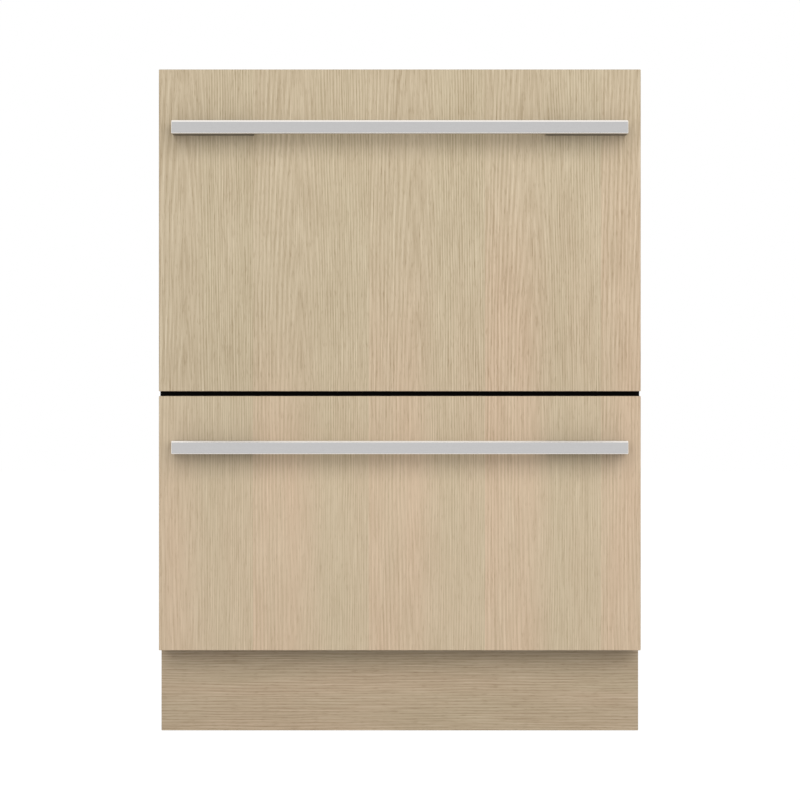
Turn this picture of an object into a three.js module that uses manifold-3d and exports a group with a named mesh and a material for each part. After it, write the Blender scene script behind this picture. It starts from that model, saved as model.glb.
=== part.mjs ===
// A built-in dishwasher with two drawers, one above the other, behind oak-veneer fronts.
// Each drawer is a moulded tub hung on telescopic slides, with a dish rack, spray arm, filter,
// wash motor, detergent dispenser and a lid that seals it inside the chassis.
// Millimetres, +Z up. The fronts look along -Y. The origin is on the floor, under the centre of
// the overall box, which runs from the handles' front faces to the chassis back.

import * as THREE from "three";
import { mergeVertices } from "three/addons/utils/BufferGeometryUtils.js";
import Module from "manifold-3d";

const wasm = await Module();
wasm.setup();

// ---------------------------------------------------------------- driving dimensions

// Fits: fixed faces that touch, sliding pieces, and turning or lifting pieces.
const SEAT = 0.3;
const PLAY = 0.5;

// How far a cutter runs past the faces it cuts, and how far joined shapes run into each other.
const OVERCUT = 1;
const EMBED = 1;

// Oak fronts.
const PANEL_WIDTH = 596;
const PANEL_THICKNESS = 18;
const UPPER_PANEL_HEIGHT = 398;
const LOWER_PANEL_HEIGHT = 314.5;
const PANEL_GAP = 6;
const PLINTH_HEIGHT = 103.5;

// Toe kick.
const KICK_HEIGHT = 102;
const KICK_THICKNESS = 16;
const KICK_SETBACK = 46;

// Bar handles.
const HANDLE_LENGTH = 560;
const HANDLE_HEIGHT = 16;
const HANDLE_DEPTH = 40;
const HANDLE_BAR = 12;
const HANDLE_FOOT = 100;
const HANDLE_EDGE = 1;
const UPPER_HANDLE_DROP = 74;
const LOWER_HANDLE_DROP = 63;

// Chassis.
const SHEET = 1.2;
const CHASSIS_REVEAL = 0.5;
const CHASSIS_DEPTH = 521;
const CHASSIS_DROP = 2;
const CHASSIS_CLEAR = 28;
const FRONT_CLEARANCE = 3;
const TOP_FLANGE = 20;
const REAR_FLANGE = 14;
const BEAD_WIDTH = 26;
const BEAD_DEPTH = 1;
const BACK_BEADS = 5;
const TOP_BEADS = 3;
const BEAD_MARGIN = 40;

// Cut-out in the back for the water and drain connections.
const SERVICE_WIDTH = 110;
const SERVICE_HEIGHT = 62;
const SERVICE_INSET = 60;

// Base tray and levelling feet.
const TRAY_WALL = 2;
const TRAY_HEIGHT = 34;
const TRAY_BOSS = 34;
const TRAY_BOSS_HEIGHT = 22;
const FOOT_RADIUS = 20;
const FOOT_EDGE = 1.5;
const FOOT_PAD_HEIGHT = 5;
const FOOT_CONE_HEIGHT = 4;
const FOOT_NECK = 8.5;
const FOOT_STEM = 5;
const FOOT_STEM_LENGTH = 30;
const FOOT_NUT = 12;
const FOOT_NUT_HEIGHT = 12;
const FOOT_INSET_SIDE = 34;
const FOOT_INSET_FRONT = 30;
const FOOT_INSET_REAR = 34;

// Middle brace between the drawers, with a nose that fills the line between the fronts.
const BRACE_DEPTH = 34;
const BRACE_HEIGHT = 22;
const BRACE_SHEET = 3;
const BRACE_NOSE = 4.5;
const BRACE_NOSE_REVEAL = 2;

// Telescopic slides: three nested channels a side.
const RAIL_WIDTH = 12.7;
const RAIL_HEIGHT = 45;
const RAIL_SHEET = 1.5;
const RAIL_LENGTH = 480;
const RAIL_LIP_SHORTFALL = 1;
const RAIL_SETBACK = 2;
const RAIL_DROP = 175;

// Drawer front frame (the inner door behind the oak).
const FRAME_DEPTH = 30;
const FRAME_REVEAL = 1;
const FRAME_TOP_DROP = 3;
const FRAME_BOTTOM_LIFT = 3.5;
const FRAME_WALL = 4;
const FRAME_POCKET_MARGIN = 12;

// Touch strip and its two buttons, in the frame's top edge.
const STRIP_LENGTH = 300;
const STRIP_WIDTH = 20;
const STRIP_THICKNESS = 4;
const BUTTON_LENGTH = 16;
const BUTTON_WIDTH = 9;
const BUTTON_PROUD = 0.8;
const BUTTON_TRAVEL = 1.5;
const BUTTON_INSET = 35;

// Tub.
const RIM_DROP = 26;
const DRAWER_PITCH = 354;
const UNDER_DRAWER = 2;
const TUB_LENGTH = 455;
const TUB_WALL = 3;
const TUB_FLOOR = 4;
const TUB_CORNER = 42;
const TUB_BASE_RADIUS = 22;
const RIM_WIDTH = 10;
const RIM_THICKNESS = 5;
const SUMP_RADIUS = 78;
const SUMP_DEPTH = 26;

// Wash motor under the sump.
const MOTOR_RADIUS = 62;
const MOTOR_HEIGHT = 28;
const MOTOR_BOSS = 34;
const MOTOR_STEP = 5;
const MOTOR_EDGE = 4;
const MOTOR_PLUG = 40;
const MOTOR_PLUG_REACH = 16;

// Filter plate with the spray arm's spindle.
const FILTER_RADIUS = 104;
const FILTER_THICKNESS = 3;
const FILTER_COLLAR = 22;
const FILTER_SLOTS = 8;
const FILTER_SLOT_WIDTH = 8;
const FILTER_SLOT_START = 26;
const FILTER_SLOT_MARGIN = 8;
const SPINDLE_RADIUS = 12;
const SPINDLE_HEIGHT = 16;
const SPINDLE_FLARE = 5;

// Spray arm.
const ARM_WALL_CLEARANCE = 19.5;
const ARM_CROSS_RADIUS = 95;
const ARM_ROOT = 40;
const ARM_TIP = 28;
const ARM_CROSS_TIP = 22;
const ARM_TIP_STEPS = 6;
const ARM_THICKNESS = 12;
const ARM_HUB_RADIUS = 24;
const ARM_HUB_HEIGHT = 20;
const ARM_HUB_EDGE = 4;
const ARM_HUB_CROWN = 14;

// Lid and its seal.
const SEAL_THICKNESS = 5;
const SEAL_WIDTH = 7.5;
const SEAL_INSET = 1.5;
const LID_HEIGHT = 12;
const LID_SKIN = 3;
const LID_SIDE_CLEARANCE = 5;
const LID_END_CLEARANCE = 3.5;
const LID_RIB_DROP = 2;
const LID_RIBS_ACROSS = 5;
const LID_RIBS_ALONG = 7;

// Dish rack.
const WIRE = 4;
const RACK_SIDE_SPACE = 20;
const RACK_FRONT_SPACE = 28;
const RACK_BACK_SPACE = 12;
const RACK_CLEAR_FLOOR = 55;
const RACK_TOP_DROP = 14;
const RACK_RIM = 5;
const RACK_HOOPS_ACROSS = 8;
const RACK_HOOPS_ALONG = 8;
const RACK_LEG = 9;
const RACK_LEG_INSET = 36;
const TINE = 3.5;
const TINE_HEIGHT = 61;
const TINE_PITCH = 40;
const TINES_PER_ROW = 9;
const TINE_HOOPS = [1, 3, 5];

// Fold-down cup racks.
const CUP_RACK_LENGTH = 300;
const CUP_RACK_REACH = 82;
const CUP_RACK_SPINE = 6;
const CUP_RACK_DROP = 102;
const CUP_RACK_WIRES = 8;

// Cutlery basket.
const CUTLERY_WIDTH = 150;
const CUTLERY_LENGTH = 64;
const CUTLERY_HEIGHT = 118;
const CUTLERY_WALL = 2.5;
const CUTLERY_CELLS = 3;

// Detergent dispenser on the tub's front wall, with a sliding door.
const DISPENSER_WIDTH = 164;
const DISPENSER_HEIGHT = 76;
const DISPENSER_DEPTH = 14;
const DISPENSER_DROP = 98;
const CUP_WIDTH = 46;
const CUP_HEIGHT = 46;
const CUP_DEPTH = 11;
const DOOR_WIDTH = 52;
const DOOR_HEIGHT = 56;
const DOOR_THICKNESS = 2.4;
const DOOR_GRIP = 2.3;
const DOOR_GRIP_WIDTH = 4;
const DOOR_GUIDE = 3.5;
const DOOR_LIP = 1.5;
const RINSE_CAP_RADIUS = 14;
const RINSE_CAP_PROUD = 3;
const RINSE_CAP_EDGE = 1;

// Water inlet valve at the back of the base tray.
const VALVE_WIDTH = 44;
const VALVE_LENGTH = 26;
const VALVE_HEIGHT = 52;
const VALVE_STUB_RADIUS = 13;
const VALVE_STUB_BORE = 8;
const VALVE_STUB_LENGTH = 22;
const VALVE_STUB_RECESS = 3;

// Smoothness: steps in a quarter of a tub corner or of its base curve, and sides of a turned piece.
const CORNER_STEPS = 4;
const BASE_STEPS = 3;
const TURNED_SIDES = 24;
const SMALL_SIDES = 12;
const WELD = 1e-4;
const MERGE = 0.005;

// ---------------------------------------------------------------- derived places

const CHASSIS_WIDTH = PANEL_WIDTH - 2 * CHASSIS_REVEAL;
const OVERALL_DEPTH = HANDLE_DEPTH + PANEL_THICKNESS + FRAME_DEPTH + FRONT_CLEARANCE + CHASSIS_DEPTH;

const HANDLE_FRONT_Y = -OVERALL_DEPTH / 2;
const PANEL_FRONT_Y = HANDLE_FRONT_Y + HANDLE_DEPTH;
const PANEL_BACK_Y = PANEL_FRONT_Y + PANEL_THICKNESS;
const FRAME_BACK_Y = PANEL_BACK_Y + FRAME_DEPTH;
const CHASSIS_FRONT_Y = FRAME_BACK_Y + FRONT_CLEARANCE;
const CHASSIS_BACK_Y = OVERALL_DEPTH / 2;
const KICK_FRONT_Y = PANEL_FRONT_Y + KICK_SETBACK;
const KICK_BACK_Y = KICK_FRONT_Y + KICK_THICKNESS;

const LOWER_PANEL_TOP = PLINTH_HEIGHT + LOWER_PANEL_HEIGHT;
const UPPER_PANEL_BOTTOM = LOWER_PANEL_TOP + PANEL_GAP;
const UPPER_PANEL_TOP = UPPER_PANEL_BOTTOM + UPPER_PANEL_HEIGHT;
const CHASSIS_TOP = UPPER_PANEL_TOP - CHASSIS_DROP;

const HALF_CHASSIS = CHASSIS_WIDTH / 2;
const INNER_HALF = HALF_CHASSIS - SHEET;
const TUB_HALF = INNER_HALF - 2 * SEAT - RAIL_WIDTH;
const TUB_HALF_LENGTH = TUB_LENGTH / 2;
const TUB_CENTRE_Y = FRAME_BACK_Y + SEAT + RIM_WIDTH + TUB_HALF_LENGTH;

const LOWER_RIM = LOWER_PANEL_TOP - RIM_DROP;
const UPPER_RIM = LOWER_RIM + DRAWER_PITCH;
const TUB_BOTTOM = -(LOWER_RIM - PLINTH_HEIGHT - UNDER_DRAWER - MOTOR_HEIGHT - SEAT - SUMP_DEPTH);
const FLOOR_TOP = TUB_BOTTOM + TUB_FLOOR;
const SUMP_BOTTOM = TUB_BOTTOM - SUMP_DEPTH;
const RACK_BOTTOM = FLOOR_TOP + RACK_CLEAR_FLOOR;
const RACK_TOP = -RACK_TOP_DROP;

// ---------------------------------------------------------------- materials

const finish = (color, roughness, metalness = 0) =>
  new THREE.MeshStandardMaterial({ color, roughness, metalness });

const OAK = finish(0xc6b599, 0.6);
const OAK_KICK = finish(0xb5a283, 0.62);
const ALUMINIUM = finish(0xc6c6c8, 0.35, 0.9);
const GALVANISED = finish(0x9fa3a6, 0.45, 0.8);
const SLIDE_STEEL = finish(0xb8babc, 0.3, 0.9);
const BLACK_PAINT = finish(0x0d0c0c, 0.5);
const FRAME_GREY = finish(0x3a3c3e, 0.5);
const GLOSS_BLACK = finish(0x101114, 0.12);
const BUTTON_SILVER = finish(0xc9cbce, 0.3, 0.6);
const TUB_GREY = finish(0xb4b8ba, 0.4);
const RACK_GREY = finish(0x8d9296, 0.4);
const MOULDED_WHITE = finish(0xe4e6e6, 0.4);
const MOULDED_BLUE_GREY = finish(0x6f7f8c, 0.42);
const SEAL_RUBBER = finish(0x55585a, 0.75);
const TRAY_BLACK = finish(0x26282a, 0.6);
const FOOT_BLACK = finish(0x1d1e1f, 0.55);

// ---------------------------------------------------------------- solid helpers

// A closed three.js geometry as a solid that can be joined and cut.
function solidOf(geometry) {
  const bare = geometry.index ? geometry.toNonIndexed() : geometry.clone();
  bare.deleteAttribute("normal");
  bare.deleteAttribute("uv");
  const merged = mergeVertices(bare, WELD);
  return new wasm.Manifold(
    new wasm.Mesh({
      numProp: 3,
      vertProperties: merged.attributes.position.array,
      triVerts: new Uint32Array(merged.index.array),
    }),
  );
}

// Flat faces that met in a join become one face first, so no needle triangles are left.
function meshOf(name, solid, material) {
  const { vertProperties, triVerts } = solid.asOriginal().simplify(MERGE).getMesh();
  const geometry = new THREE.BufferGeometry();
  geometry.setAttribute("position", new THREE.BufferAttribute(new Float32Array(vertProperties), 3));
  geometry.setIndex(new THREE.BufferAttribute(new Uint32Array(triVerts), 1));
  const faceted = geometry.toNonIndexed();
  faceted.computeVertexNormals();
  const mesh = new THREE.Mesh(faceted, material);
  mesh.name = name;
  return mesh;
}

function block([x0, x1], [y0, y1], [z0, z1]) {
  const box = new THREE.BoxGeometry(x1 - x0, y1 - y0, z1 - z0);
  return solidOf(box.translate((x0 + x1) / 2, (y0 + y1) / 2, (z0 + z1) / 2));
}

// A straight prism of a closed outline. Along y the outline is (x, z), along x it is (y, z).
function prism(outline, along, from, to) {
  const shape = new THREE.Shape(outline.map(([a, b]) => new THREE.Vector2(a, b)));
  const geometry = new THREE.ExtrudeGeometry(shape, { depth: to - from, bevelEnabled: false });
  if (along === "y") geometry.rotateX(Math.PI / 2).translate(0, to, 0);
  if (along === "z") geometry.translate(0, 0, from);
  if (along === "x") {
    const turn = new THREE.Matrix4().makeBasis(
      new THREE.Vector3(0, 1, 0),
      new THREE.Vector3(0, 0, 1),
      new THREE.Vector3(1, 0, 0),
    );
    geometry.applyMatrix4(turn).translate(from, 0, 0);
  }
  return solidOf(geometry);
}

// A body turned about the vertical axis; the profile is [radius, height], lowest first.
function turned(profile, sides = TURNED_SIDES) {
  const points = profile.map(([r, z]) => new THREE.Vector2(r, z));
  return solidOf(new THREE.LatheGeometry(points, sides).rotateX(Math.PI / 2));
}

function rod(radius, z0, z1, sides = TURNED_SIDES) {
  return turned([[0, z0], [radius, z0], [radius, z1], [0, z1]], sides);
}

function rodAlongY(radius, y0, y1) {
  return rod(radius, -y1, -y0, SMALL_SIDES).rotate([90, 0, 0]);
}

// Corner points of a rounded rectangle, anticlockwise.
function roundedOutline(halfX, halfY, radius, steps = CORNER_STEPS) {
  const corners = [[1, 1], [-1, 1], [-1, -1], [1, -1]];
  return corners.flatMap(([sx, sy], corner) =>
    Array.from({ length: steps + 1 }, (_, step) => {
      const angle = ((corner + step / steps) * Math.PI) / 2;
      const x = sx * (halfX - radius) + radius * Math.cos(angle);
      const y = sy * (halfY - radius) + radius * Math.sin(angle);
      return [x, y];
    }),
  );
}

function slab(halfX, halfY, radius, z0, z1) {
  return prism(roundedOutline(halfX, halfY, radius), "z", z0, z1);
}

// A closed skin through a stack of rounded rectangles, lowest first: [halfX, halfY, radius, z].
function loft(sections) {
  const rings = sections.map(([halfX, halfY, radius, z]) =>
    roundedOutline(halfX, halfY, radius).map(([x, y]) => new THREE.Vector3(x, y, z)),
  );
  const triangles = [];
  const count = rings[0].length;
  for (let level = 0; level < rings.length - 1; level++) {
    for (let i = 0; i < count; i++) {
      const j = (i + 1) % count;
      const [a, b] = [rings[level][i], rings[level][j]];
      const [c, d] = [rings[level + 1][i], rings[level + 1][j]];
      triangles.push(a, b, d, a, d, c);
    }
  }
  const top = rings[rings.length - 1];
  for (let i = 1; i < count - 1; i++) {
    triangles.push(rings[0][0], rings[0][i + 1], rings[0][i]);
    triangles.push(top[0], top[i], top[i + 1]);
  }
  return solidOf(new THREE.BufferGeometry().setFromPoints(triangles));
}

const joined = (...solids) => wasm.Manifold.union(solids);
const cutBy = (solid, ...cutters) => solid.subtract(joined(...cutters));
const spread = (count, from, to) =>
  Array.from({ length: count }, (_, i) => from + ((to - from) * i) / (count - 1));
const around = (centre, width) => [centre - width / 2, centre + width / 2];

// ---------------------------------------------------------------- chassis

// A pressed bead: a shallow trough cut in one face and pushed out of the other.
function pressedBead(solid, trough, ridge) {
  return solid.add(ridge).subtract(trough);
}

function sidePanel(side) {
  const backY = CHASSIS_BACK_Y - SHEET - SEAT;
  const topZ = CHASSIS_TOP - SHEET - SEAT;
  const notchY = KICK_BACK_Y + SEAT;
  const outline = [
    [CHASSIS_FRONT_Y, PLINTH_HEIGHT],
    [notchY, PLINTH_HEIGHT],
    [notchY, CHASSIS_CLEAR],
    [backY, CHASSIS_CLEAR],
    [backY, topZ],
    [CHASSIS_FRONT_Y, topZ],
  ];
  const across = (inner, outer) => (side > 0 ? [inner, outer] : [-outer, -inner]);
  const wall = prism(outline, "x", ...across(INNER_HALF, HALF_CHASSIS));
  const flangeX = across(INNER_HALF - TOP_FLANGE, HALF_CHASSIS);
  const rearX = across(INNER_HALF - REAR_FLANGE, HALF_CHASSIS);
  const topFlange = block(flangeX, [CHASSIS_FRONT_Y + BEAD_MARGIN, backY], [topZ - SHEET, topZ]);
  const rearFlange = block(rearX, [backY - SHEET, backY], [CHASSIS_CLEAR, topZ]);
  let panel = joined(wall, topFlange, rearFlange);
  const beadY = [CHASSIS_FRONT_Y + BEAD_MARGIN, backY - BEAD_MARGIN];
  const underSlides = PLINTH_HEIGHT + BEAD_MARGIN;
  const betweenDrawers = UPPER_RIM + SUMP_BOTTOM;
  for (const z of [underSlides, LOWER_RIM - BEAD_MARGIN, betweenDrawers, UPPER_RIM - BEAD_MARGIN]) {
    const ridgeZ = around(z, BEAD_WIDTH);
    const troughZ = around(z, BEAD_WIDTH - 2 * SHEET);
    const troughY = [beadY[0] + SHEET, beadY[1] - SHEET];
    const ridge = block(across(INNER_HALF - BEAD_DEPTH, INNER_HALF + SHEET / 2), beadY, ridgeZ);
    const trough = block(across(HALF_CHASSIS - BEAD_DEPTH, HALF_CHASSIS + SHEET), troughY, troughZ);
    panel = pressedBead(panel, trough, ridge);
  }
  return panel;
}

function backPanel() {
  const [y0, y1] = [CHASSIS_BACK_Y - SHEET, CHASSIS_BACK_Y];
  const topZ = CHASSIS_TOP - SHEET - SEAT;
  let panel = block([-HALF_CHASSIS, HALF_CHASSIS], [y0, y1], [CHASSIS_CLEAR, topZ]);
  const beadX = [-HALF_CHASSIS + BEAD_MARGIN, HALF_CHASSIS - BEAD_MARGIN];
  for (const z of spread(BACK_BEADS, UPPER_RIM, LOWER_RIM - RAIL_DROP)) {
    const ridge = block(beadX, [y0 - BEAD_DEPTH, y0 + SHEET / 2], around(z, BEAD_WIDTH));
    const troughX = [beadX[0] + SHEET, beadX[1] - SHEET];
    const troughZ = around(z, BEAD_WIDTH - 2 * SHEET);
    panel = pressedBead(panel, block(troughX, [y1 - BEAD_DEPTH, y1 + SHEET], troughZ), ridge);
  }
  const serviceX = [HALF_CHASSIS - SERVICE_INSET - SERVICE_WIDTH, HALF_CHASSIS - SERVICE_INSET];
  const serviceZ = [CHASSIS_CLEAR + TRAY_WALL, CHASSIS_CLEAR + TRAY_WALL + SERVICE_HEIGHT];
  return cutBy(panel, block(serviceX, [y0 - SHEET, y1 + SHEET], serviceZ));
}

function topPanel() {
  const [z0, z1] = [CHASSIS_TOP - SHEET, CHASSIS_TOP];
  let panel = block([-HALF_CHASSIS, HALF_CHASSIS], [CHASSIS_FRONT_Y, CHASSIS_BACK_Y], [z0, z1]);
  const beadX = [-INNER_HALF + 2 * BEAD_MARGIN, INNER_HALF - 2 * BEAD_MARGIN];
  const firstY = CHASSIS_FRONT_Y + 3 * BEAD_MARGIN;
  for (const y of spread(TOP_BEADS, firstY, CHASSIS_BACK_Y - 2 * BEAD_MARGIN)) {
    const ridge = block(beadX, around(y, BEAD_WIDTH), [z0 - BEAD_DEPTH, z0 + SHEET / 2]);
    const troughX = [beadX[0] + SHEET, beadX[1] - SHEET];
    const troughY = around(y, BEAD_WIDTH - 2 * SHEET);
    panel = pressedBead(panel, block(troughX, troughY, [z1 - BEAD_DEPTH, z1 + SHEET]), ridge);
  }
  return panel;
}

// A channel across the chassis. Its nose reaches forward between the two front frames.
function middleBrace() {
  const noseY = PANEL_BACK_Y + BRACE_NOSE_REVEAL;
  const centreZ = LOWER_PANEL_TOP + PANEL_GAP / 2;
  const [noseZ0, noseZ1] = around(centreZ, BRACE_NOSE);
  const backY = CHASSIS_FRONT_Y + BRACE_DEPTH;
  const outline = [
    [noseY, noseZ0],
    [backY, noseZ0],
    [backY, noseZ0 + BRACE_HEIGHT],
    [backY - BRACE_SHEET, noseZ0 + BRACE_HEIGHT],
    [backY - BRACE_SHEET, noseZ1],
    [CHASSIS_FRONT_Y + BRACE_SHEET, noseZ1],
    [CHASSIS_FRONT_Y + BRACE_SHEET, noseZ0 + BRACE_HEIGHT],
    [CHASSIS_FRONT_Y, noseZ0 + BRACE_HEIGHT],
    [CHASSIS_FRONT_Y, noseZ1],
    [noseY, noseZ1],
  ];
  const between = prism(outline, "x", -INNER_HALF + SEAT, INNER_HALF - SEAT);
  const tipY = [noseY, CHASSIS_FRONT_Y - SEAT];
  return between.add(block([-HALF_CHASSIS, HALF_CHASSIS], tipY, [noseZ0, noseZ1]));
}

const FOOT_PLACES = {
  front_left: [-HALF_CHASSIS + FOOT_INSET_SIDE, KICK_BACK_Y + FOOT_INSET_FRONT],
  front_right: [HALF_CHASSIS - FOOT_INSET_SIDE, KICK_BACK_Y + FOOT_INSET_FRONT],
  rear_left: [-HALF_CHASSIS + FOOT_INSET_SIDE, CHASSIS_BACK_Y - FOOT_INSET_REAR],
  rear_right: [HALF_CHASSIS - FOOT_INSET_SIDE, CHASSIS_BACK_Y - FOOT_INSET_REAR],
};

// A shallow drip tray with a boss over each levelling foot.
function baseTray() {
  const y0 = KICK_BACK_Y + SEAT;
  const y1 = CHASSIS_BACK_Y - 2 * SHEET - 2 * SEAT;
  const x1 = INNER_HALF - SEAT;
  const [z0, z1] = [CHASSIS_CLEAR, CHASSIS_CLEAR + TRAY_HEIGHT];
  const hollow = block(
    [-x1 + TRAY_WALL, x1 - TRAY_WALL],
    [y0 + TRAY_WALL, y1 - TRAY_WALL],
    [z0 + TRAY_WALL, z1 + TRAY_WALL],
  );
  let tray = block([-x1, x1], [y0, y1], [z0, z1]).subtract(hollow);
  for (const [x, y] of Object.values(FOOT_PLACES)) {
    const boss = block(around(x, TRAY_BOSS), around(y, TRAY_BOSS), [z0, z0 + TRAY_BOSS_HEIGHT]);
    const bore = rod(FOOT_STEM + PLAY, -OVERCUT, TRAY_HEIGHT, SMALL_SIDES).translate(x, y, z0);
    tray = tray.add(boss).subtract(bore);
  }
  const serviceX = [HALF_CHASSIS - SERVICE_INSET - SERVICE_WIDTH, HALF_CHASSIS - SERVICE_INSET];
  return cutBy(tray, block(serviceX, [y1 - 2 * TRAY_WALL, y1 + OVERCUT], [z0 + TRAY_WALL, z1 + OVERCUT]));
}

// A screwed foot: pad, hexagon neck, nut under the tray and stem through the boss.
function levellingFoot() {
  const nutTop = CHASSIS_CLEAR - SEAT;
  const nutBottom = nutTop - FOOT_NUT_HEIGHT;
  const stemTop = CHASSIS_CLEAR + FOOT_STEM_LENGTH;
  return turned(
    [
      [0, 0],
      [FOOT_RADIUS - FOOT_EDGE, 0],
      [FOOT_RADIUS, FOOT_EDGE],
      [FOOT_RADIUS, FOOT_PAD_HEIGHT],
      [FOOT_NECK, FOOT_PAD_HEIGHT + FOOT_CONE_HEIGHT],
      [FOOT_NECK, nutBottom],
      [FOOT_NUT, nutBottom],
      [FOOT_NUT, nutTop],
      [FOOT_STEM, nutTop],
      [FOOT_STEM, stemTop],
      [0, stemTop],
    ],
    SMALL_SIDES,
  );
}

// An inlet valve standing on the tray floor, its threaded stub facing the service cut-out.
function inletValve() {
  const stubEnd = CHASSIS_BACK_Y - VALVE_STUB_RECESS;
  const bodyBack = stubEnd - VALVE_STUB_LENGTH;
  const x = HALF_CHASSIS - SERVICE_INSET - SERVICE_WIDTH / 2;
  const z0 = CHASSIS_CLEAR + TRAY_WALL + SEAT;
  const body = block(around(x, VALVE_WIDTH), [bodyBack - VALVE_LENGTH, bodyBack], [z0, z0 + VALVE_HEIGHT]);
  const alongY = (radius, y0, y1) => rodAlongY(radius, y0, y1).translate(x, 0, z0 + VALVE_HEIGHT / 2);
  const stub = alongY(VALVE_STUB_RADIUS, bodyBack - EMBED, stubEnd);
  const bore = alongY(VALVE_STUB_BORE, bodyBack, stubEnd + OVERCUT);
  return body.add(stub).subtract(bore);
}

// ---------------------------------------------------------------- telescopic slides

// Each member is a channel. Distances are measured inwards from the chassis wall.
function railMember(side, { web, lips, halfHeight, opensInwards }, y0, y1) {
  const x = (inwards) => side * (INNER_HALF - inwards);
  const [outer, inner] = opensInwards ? [web, lips] : [web, lips].reverse();
  const near = opensInwards ? outer + RAIL_SHEET : inner - RAIL_SHEET;
  const back = opensInwards ? outer : inner;
  const mouth = opensInwards ? inner : outer;
  const inside = halfHeight - RAIL_SHEET;
  const outline = [
    [x(back), -halfHeight],
    [x(mouth), -halfHeight],
    [x(mouth), -inside],
    [x(near), -inside],
    [x(near), inside],
    [x(mouth), inside],
    [x(mouth), halfHeight],
    [x(back), halfHeight],
  ];
  return prism(outline, "y", y0, y1);
}

const RAIL_STEP = RAIL_SHEET + PLAY;
const RAIL_LIP_END = SEAT + RAIL_WIDTH - RAIL_LIP_SHORTFALL;
const RAIL_SIZES = {
  fixed: {
    web: SEAT,
    lips: RAIL_LIP_END,
    halfHeight: RAIL_HEIGHT / 2,
    opensInwards: true,
  },
  middle: {
    web: SEAT + RAIL_STEP,
    lips: RAIL_LIP_END,
    halfHeight: RAIL_HEIGHT / 2 - RAIL_STEP,
    opensInwards: true,
  },
  inner: {
    web: SEAT + RAIL_WIDTH,
    lips: SEAT + 2 * RAIL_STEP,
    halfHeight: RAIL_HEIGHT / 2 - 2 * RAIL_STEP,
    opensInwards: false,
  },
};

// ---------------------------------------------------------------- drawer, about its tub's rim

// Places in a drawer's own frame: y from the tub's centre, z from the rim.
const LOCAL_FRAME_BACK = FRAME_BACK_Y - TUB_CENTRE_Y;
const LOCAL_FRAME_FRONT = PANEL_BACK_Y + SEAT - TUB_CENTRE_Y;
const LOCAL_PANEL = [PANEL_FRONT_Y - TUB_CENTRE_Y, PANEL_BACK_Y - TUB_CENTRE_Y];
const LOCAL_RAIL_FRONT = CHASSIS_FRONT_Y + RAIL_SETBACK - TUB_CENTRE_Y;
const LOCAL_STRIP = (LOCAL_FRAME_FRONT + LOCAL_FRAME_BACK) / 2;
const BUTTON_X = STRIP_LENGTH / 2 - BUTTON_INSET;
const INNER_X = TUB_HALF - TUB_WALL;
const INNER_Y = TUB_HALF_LENGTH - TUB_WALL;

function tub() {
  const base = Array.from({ length: BASE_STEPS + 1 }, (_, step) => {
    const angle = (step / BASE_STEPS) * (Math.PI / 2);
    return [TUB_BASE_RADIUS * (1 - Math.sin(angle)), TUB_BASE_RADIUS * (1 - Math.cos(angle))];
  });
  const shell = (offset, bottom, top) =>
    loft(
      [...base, [0, top - bottom]].map(([inset, rise]) => [
        TUB_HALF - offset - inset,
        TUB_HALF_LENGTH - offset - inset,
        TUB_CORNER - offset,
        bottom + rise,
      ]),
    );
  const rimSize = [TUB_HALF, TUB_HALF_LENGTH, TUB_CORNER].map((size) => size + RIM_WIDTH);
  const rim = slab(...rimSize, -RIM_THICKNESS, 0);
  const body = joined(shell(0, TUB_BOTTOM, 0), rim, rod(SUMP_RADIUS, SUMP_BOTTOM, FLOOR_TOP - EMBED));
  const hollow = shell(TUB_WALL, FLOOR_TOP, OVERCUT);
  const well = rod(SUMP_RADIUS - TUB_WALL, SUMP_BOTTOM + TUB_WALL, FLOOR_TOP + OVERCUT);
  return cutBy(body, hollow, well);
}

function frontFrame(bottom, top) {
  const halfWidth = HALF_CHASSIS - FRAME_REVEAL + CHASSIS_REVEAL;
  const pocket = block(
    [-TUB_HALF + FRAME_POCKET_MARGIN, TUB_HALF - FRAME_POCKET_MARGIN],
    [LOCAL_FRAME_FRONT + FRAME_WALL, LOCAL_FRAME_BACK + OVERCUT],
    [TUB_BOTTOM + TUB_BASE_RADIUS, -FRAME_POCKET_MARGIN],
  );
  const stripY = around(LOCAL_STRIP, STRIP_WIDTH + 2 * SEAT);
  const stripZ = top - STRIP_THICKNESS - SEAT;
  const slot = block(around(0, STRIP_LENGTH + 2 * SEAT), stripY, [stripZ, top + OVERCUT]);
  const wellZ = [stripZ - BUTTON_TRAVEL - 2 * SEAT, stripZ + OVERCUT];
  const wells = [-1, 1].map((side) =>
    block(around(side * BUTTON_X, BUTTON_LENGTH), around(LOCAL_STRIP, BUTTON_WIDTH), wellZ),
  );
  const frame = block([-halfWidth, halfWidth], [LOCAL_FRAME_FRONT, LOCAL_FRAME_BACK], [bottom, top]);
  return cutBy(frame, pocket, slot, ...wells);
}

function controlStrip(top) {
  const bottom = top - STRIP_THICKNESS;
  const strip = block(around(0, STRIP_LENGTH), around(LOCAL_STRIP, STRIP_WIDTH), [bottom, top]);
  const holeZ = [bottom - OVERCUT, top + OVERCUT];
  const holes = [-1, 1].map((side) =>
    block(around(side * BUTTON_X, BUTTON_LENGTH), around(LOCAL_STRIP, BUTTON_WIDTH), holeZ),
  );
  return cutBy(strip, ...holes);
}

function button(side, top) {
  return block(
    around(side * BUTTON_X, BUTTON_LENGTH - 2 * SEAT),
    around(LOCAL_STRIP, BUTTON_WIDTH - 2 * SEAT),
    [top - STRIP_THICKNESS - SEAT, top + BUTTON_PROUD],
  );
}

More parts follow.
